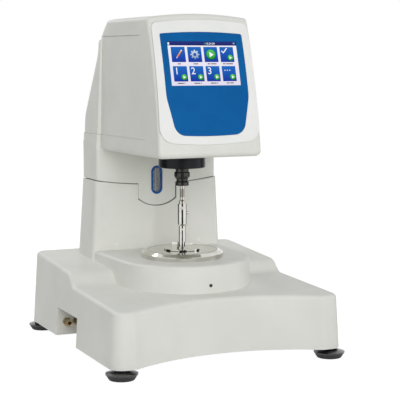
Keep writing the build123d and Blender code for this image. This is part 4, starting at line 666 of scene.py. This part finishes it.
def tick_tree():
    tree, start = new_tree("scale_ticks", {
        "Count": "Int", "Pitch": "Float", "Length": "Float", "Width": "Float", "Long Every": "Int",
        "Long By": "Float", "Material": "Material"})
    step = add(tree, "ShaderNodeCombineXYZ", {"Z": start["Pitch"]}).outputs[0]
    line = add(tree, "GeometryNodeMeshLine", {"Count": start["Count"], "Offset": step}, mode="OFFSET")
    size = add(tree, "ShaderNodeCombineXYZ", {
        "X": start["Length"], "Y": mm(INK_THICKNESS), "Z": start["Width"]}).outputs[0]
    tick = add(tree, "GeometryNodeMeshCube", {"Size": size})
    shift = add(tree, "ShaderNodeCombineXYZ", {"X": maths(tree, "MULTIPLY", start["Length"], 0.5)})
    from_left = add(tree, "GeometryNodeTransform", {
        "Geometry": tick.outputs[0], "Translation": shift.outputs[0]})
    turn = maths(tree, "MODULO", add(tree, "GeometryNodeInputIndex").outputs[0], start["Long Every"])
    is_long = maths(tree, "LESS_THAN", turn, 0.5)
    reach = maths(tree, "MULTIPLY_ADD", is_long, start["Long By"], 1.0)
    stretch = add(tree, "ShaderNodeCombineXYZ", {"X": reach, "Y": 1.0, "Z": 1.0})
    ticks = add(tree, "GeometryNodeInstanceOnPoints", {
        "Points": line.outputs[0], "Instance": from_left.outputs[0], "Scale": stretch.outputs[0]})
    close_tree(tree, ticks.outputs[0])
    return tree


def screen_tiles(material):
    across = TILE_COLUMNS[-1] - TILE_COLUMNS[0]
    up = TILE_ROWS[0] - TILE_ROWS[1]
    mesh = grown("screen_tiles", tile_tree(), {
        "Columns": 4, "Rows": 2, "Across": mm(across), "Up": mm(up), "Width": mm(TILE_WIDTH),
        "Height": mm(TILE_HEIGHT), "Corner": mm(0.8), "Material": material})
    middle = mm((TILE_COLUMNS[-1] + TILE_COLUMNS[0]) / 2, sum(TILE_ROWS) / 2, 0.15)
    mesh.transform(screen_place() @ Matrix.Translation(middle))
    return finished("screen_tiles", mesh, "head")


def text_mesh(words, size, place):
    """Flat figures as a mesh, set by the matrix."""
    curve = bpy.data.curves.new("figures", "FONT")
    curve.body = words
    curve.size = mm(size)
    curve.resolution_u = 3
    holder = bpy.data.objects.new("figures", curve)
    bpy.context.scene.collection.objects.link(holder)
    ready = holder.evaluated_get(bpy.context.evaluated_depsgraph_get())
    mesh = bpy.data.meshes.new_from_object(ready)
    bpy.data.objects.remove(holder)
    mesh.transform(place)
    return mesh


def joined(name, meshes, material):
    bm = bmesh.new()
    for mesh in meshes:
        bm.from_mesh(mesh)
    total = bpy.data.meshes.new(name)
    bm.to_mesh(total)
    bm.free()
    total.materials.clear()
    total.materials.append(material)
    for face in total.polygons:
        face.material_index = 0
    return total


def screen_figures(material):
    meshes = []
    for figure, column in zip("123", TILE_COLUMNS):
        place = screen_place() @ Matrix.Translation(mm(column - 9.6, TILE_ROWS[1] - 0.6, 0.25))
        meshes.append(text_mesh(figure, 15.5, place))
    clock = screen_place() @ Matrix.Translation(mm(6.4, PAGE_HEIGHT / 2 - 5.2, 0.2))
    meshes.append(text_mesh("10:24:00", 4.6, clock))
    mesh = joined("screen_figures", meshes, material)
    rise = mesh.attributes.new("page_rise", "FLOAT", "POINT")
    for item in rise.data:
        item.value = 0.8
    return finished("screen_figures", mesh, "head")


def dress_screen():
    materials = page_materials()
    mesh = page_shapes()
    mesh.transform(screen_place())
    for material in materials:
        mesh.materials.append(material)
    finished("screen_page", mesh, "head")
    screen_tiles(materials[BLUE])
    screen_figures(materials[WHITE])


def dress_scale():
    ink = white_ink().material
    count = int(SCALE_HIGH - SCALE_LOW) + 1
    mesh = grown("scale_ticks", tick_tree(), {
        "Count": count, "Pitch": mm(1), "Length": mm(1.9), "Width": mm(0.28), "Long Every": 5,
        "Long By": 0.7, "Material": ink})
    mesh.transform(Matrix.Translation(mm(SCALE_LEFT, SCALE_FRONT - 0.03, SCALE_LOW)))
    finished("scale_ticks", mesh, "base")
    meshes = []
    upright = Matrix.Rotation(math.pi / 2, 4, "X")
    for number in range(count // 10):
        height = SCALE_LOW + 10 * number
        place = Matrix.Translation(mm(SCALE_LEFT - 3.6, SCALE_FRONT - 0.05, height + 0.6)) @ upright
        meshes.append(text_mesh(str(number), 2.6, place))
    finished("scale_figures", joined("scale_figures", meshes, ink), "base")


def rounded_strip(name, size, corner, material, place):
    bm = bmesh.new()
    bmesh.ops.create_cube(bm, size=1.0, matrix=Matrix.Diagonal((*size, 1.0)))
    bmesh.ops.bevel(bm, geom=bm.edges[:], offset=corner, segments=3, profile=0.5, affect="EDGES")
    mesh = bpy.data.meshes.new(name)
    bm.to_mesh(mesh)
    bm.free()
    mesh.transform(place)
    mesh.materials.append(material)
    for face in mesh.polygons:
        face.use_smooth = True
    return mesh


def dress_deck_slot():
    # A black rubber strip laid at the bottom of the slot in the front deck is painted shade: it darkens the
    # slot where its shade falls.
    shade_rubber = rubber().material
    strip = rounded_strip("slot_shade_strip", mm(9.6, 1.5, 0.5), mm(0.2), shade_rubber, Matrix.Translation(DECK_SLOT))
    finished("slot_shade_strip", strip, "base")


def dress_inlet():
    # Nickel blades stand over the inlet's moulded pins.
    plated = zinc_steel().material
    meshes = []
    for across, up in ((-7.0, -2.0), (0.0, 2.0), (7.0, -2.0)):
        place = Matrix.Translation(INLET_MIDDLE + mm(across, 0, up))
        meshes.append(rounded_strip("blade", mm(2.3, 12.6, 4.3), mm(0.5), plated, place))
    finished("inlet_blades", joined("inlet_blades", meshes, plated), "base")


def coil(name, low, high, wire, turns, material):
    """A compression spring between two corners, each end lying flat for a third of a turn."""
    middle = (low + high) / 2
    radius = (high.x - low.x - wire) / 2
    steps = turns * COIL_STEPS
    bm = bmesh.new()
    rings = []
    for step in range(steps + 1):
        turn = step / COIL_STEPS
        climb = min(max((turn - 1 / 3) / (turns - 2 / 3), 0), 1)
        out = Vector((math.cos(2 * math.pi * turn), math.sin(2 * math.pi * turn), 0))
        height = low.z + wire / 2 + climb * (high.z - low.z - wire)
        centre = Vector((middle.x, middle.y, height)) + out * radius
        rings.append([bm.verts.new(centre + (out * u + Vector((0, 0, v))) * wire / 2)
                      for u, v in arc_points(0, 0, 1, 0, 360, COIL_CORNERS)])
    for ring, following in zip(rings, rings[1:]):
        for corner in range(COIL_CORNERS):
            beside = (corner + 1) % COIL_CORNERS
            bm.faces.new((ring[corner], following[corner], following[beside], ring[beside])).smooth = True
    bm.faces.new(rings[0])
    bm.faces.new(reversed(rings[-1]))
    bmesh.ops.recalc_face_normals(bm, faces=bm.faces)
    mesh = bpy.data.meshes.new(name)
    bm.to_mesh(mesh)
    bm.free()
    mesh.materials.append(material)
    return mesh


def dress_spring():
    # The coupling's spring stands on the sleeve's seat and rides with the sleeve as a rigid coil; in the
    # real coupling the rising sleeve presses it together.
    low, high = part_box("coupling_spring")
    mesh = coil("sleeve_spring", low, high, mm(SPRING_WIRE), SPRING_TURNS, zinc_steel().material)
    spring = finished("sleeve_spring", mesh, "sleeve")
    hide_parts("coupling_spring")
    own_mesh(spring)


# Studio

CAMERA_PLACE = (-0.81192, -1.89944, 0.46689)
FRONT_LEFT = math.atan2(CAMERA_PLACE[1] - SPINDLE_AXIS.y, CAMERA_PLACE[0] - SPINDLE_AXIS.x)
FLAG_HEIGHT = 0.5


def shown_white(tree, plain, white):
    """Camera, mirror and glass rays see the white shader, every other ray the plain one."""
    path = add(tree, "ShaderNodeLightPath").outputs
    mirrored = maths(tree, "MAXIMUM", path["Is Glossy Ray"], path["Is Transmission Ray"])
    seen = maths(tree, "MAXIMUM", path["Is Camera Ray"], mirrored)
    return add(tree, "ShaderNodeMixShader", {0: seen, 1: plain, 2: white}).outputs[0]


def floor():
    # Plain pale paper: part of its white comes from itself, so that it stays white in any view and
    # keeps a soft shadow under the feet.
    bm = bmesh.new()
    bmesh.ops.create_circle(bm, cap_ends=True, radius=12.0, segments=96)
    mesh = bpy.data.meshes.new("floor")
    bm.to_mesh(mesh)
    bm.free()
    ground = bpy.data.objects.new("floor", mesh)
    bpy.context.scene.collection.objects.link(ground)
    material = bpy.data.materials.new("pale_floor_paper")
    material.use_nodes = True
    tree = material.node_tree
    tree.nodes.clear()
    plain = add(tree, "ShaderNodeBsdfDiffuse", {"Color": linear("DADAD6")}).outputs[0]
    half = add(tree, "ShaderNodeBsdfDiffuse", {"Color": linear("A8A8A8")}).outputs[0]
    glow = add(tree, "ShaderNodeEmission", {"Color": (1, 1, 1, 1), "Strength": 0.86}).outputs[0]
    white = add(tree, "ShaderNodeAddShader", {0: half, 1: glow}).outputs[0]
    add(tree, "ShaderNodeOutputMaterial", {"Surface": shown_white(tree, plain, white)})
    mesh.materials.append(material)


def surroundings():
    world = bpy.data.worlds.new("studio")
    bpy.context.scene.world = world
    world.use_nodes = True
    tree = world.node_tree
    tree.nodes.clear()
    plain = add(tree, "ShaderNodeBackground", {"Color": linear("FCFDFF"), "Strength": 0.43}).outputs[0]
    white = add(tree, "ShaderNodeBackground", {"Color": (1, 1, 1, 1), "Strength": 1.0}).outputs[0]
    add(tree, "ShaderNodeOutputWorld", {"Surface": shown_white(tree, plain, white)})


def softbox(name, place, target, width, height, power):
    lamp = bpy.data.lights.new(name, "AREA")
    lamp.shape = "RECTANGLE"
    lamp.size = width
    lamp.size_y = height
    lamp.energy = power
    holder = bpy.data.objects.new(name, lamp)
    holder.location = place
    holder.rotation_euler = (Vector(target) - Vector(place)).to_track_quat("-Z", "Y").to_euler()
    bpy.context.scene.collection.objects.link(holder)


def flag(name, turn, width):
    """An upright black card, seen by bright metal alone, which gives it a dark streak.

    The turn is in degrees about the spindle, from the line to the camera, to the right.
    """
    heading = FRONT_LEFT + math.radians(turn)
    foot = SPINDLE_AXIS + Vector((math.cos(heading), math.sin(heading), 0))
    bm = bmesh.new()
    bmesh.ops.create_grid(bm, x_segments=1, y_segments=1, size=0.5)
    upright = Matrix.Rotation(heading + math.pi / 2, 4, "Z") @ Matrix.Rotation(math.pi / 2, 4, "X")
    lift = Vector((0, 0, FLAG_HEIGHT / 2))
    size = Matrix.Diagonal((width, FLAG_HEIGHT, 1, 1))
    bmesh.ops.transform(bm, matrix=Matrix.Translation(foot + lift) @ upright @ size, verts=bm.verts)
    mesh = bpy.data.meshes.new(name)
    bm.to_mesh(mesh)
    bm.free()
    card = bpy.data.objects.new(name, mesh)
    bpy.context.scene.collection.objects.link(card)
    mesh.materials.append(Finish("black_felt_" + name, "101010", 1.0).material)
    card.visible_camera = False
    card.visible_diffuse = False
    card.visible_shadow = False


def studio():
    floor()
    surroundings()
    middle = (0, 0, 0.25)
    softbox("key", (-0.5, -2.4, 0.95), middle, 1.4, 1.4, 26)
    softbox("rear", (-1.0, 1.9, 1.9), middle, 1.6, 1.2, 16)
    softbox("right", (2.3, -0.6, 0.6), middle, 1.2, 1.2, 5)
    for name, turn, width in (("front", 5, 0.8), ("left", -100, 0.8), ("right", 115, 0.5)):
        flag(name, turn, width)


def camera():
    data = bpy.data.cameras.new("camera")
    data.sensor_fit = "HORIZONTAL"
    data.sensor_width = 36.0
    data.lens = 114.23
    data.clip_start = 0.05
    data.clip_end = 60.0
    holder = bpy.data.objects.new("camera", data)
    holder.location = CAMERA_PLACE
    holder.rotation_euler = (math.radians(90 - 6.370), 0, -math.radians(24.106))
    bpy.context.scene.collection.objects.link(holder)
    bpy.context.scene.camera = holder


bpy.context.scene.view_settings.view_transform = "Standard"
dress_nodes()
dress_screen()
dress_scale()
dress_deck_slot()
dress_inlet()
dress_spring()
studio()
camera()
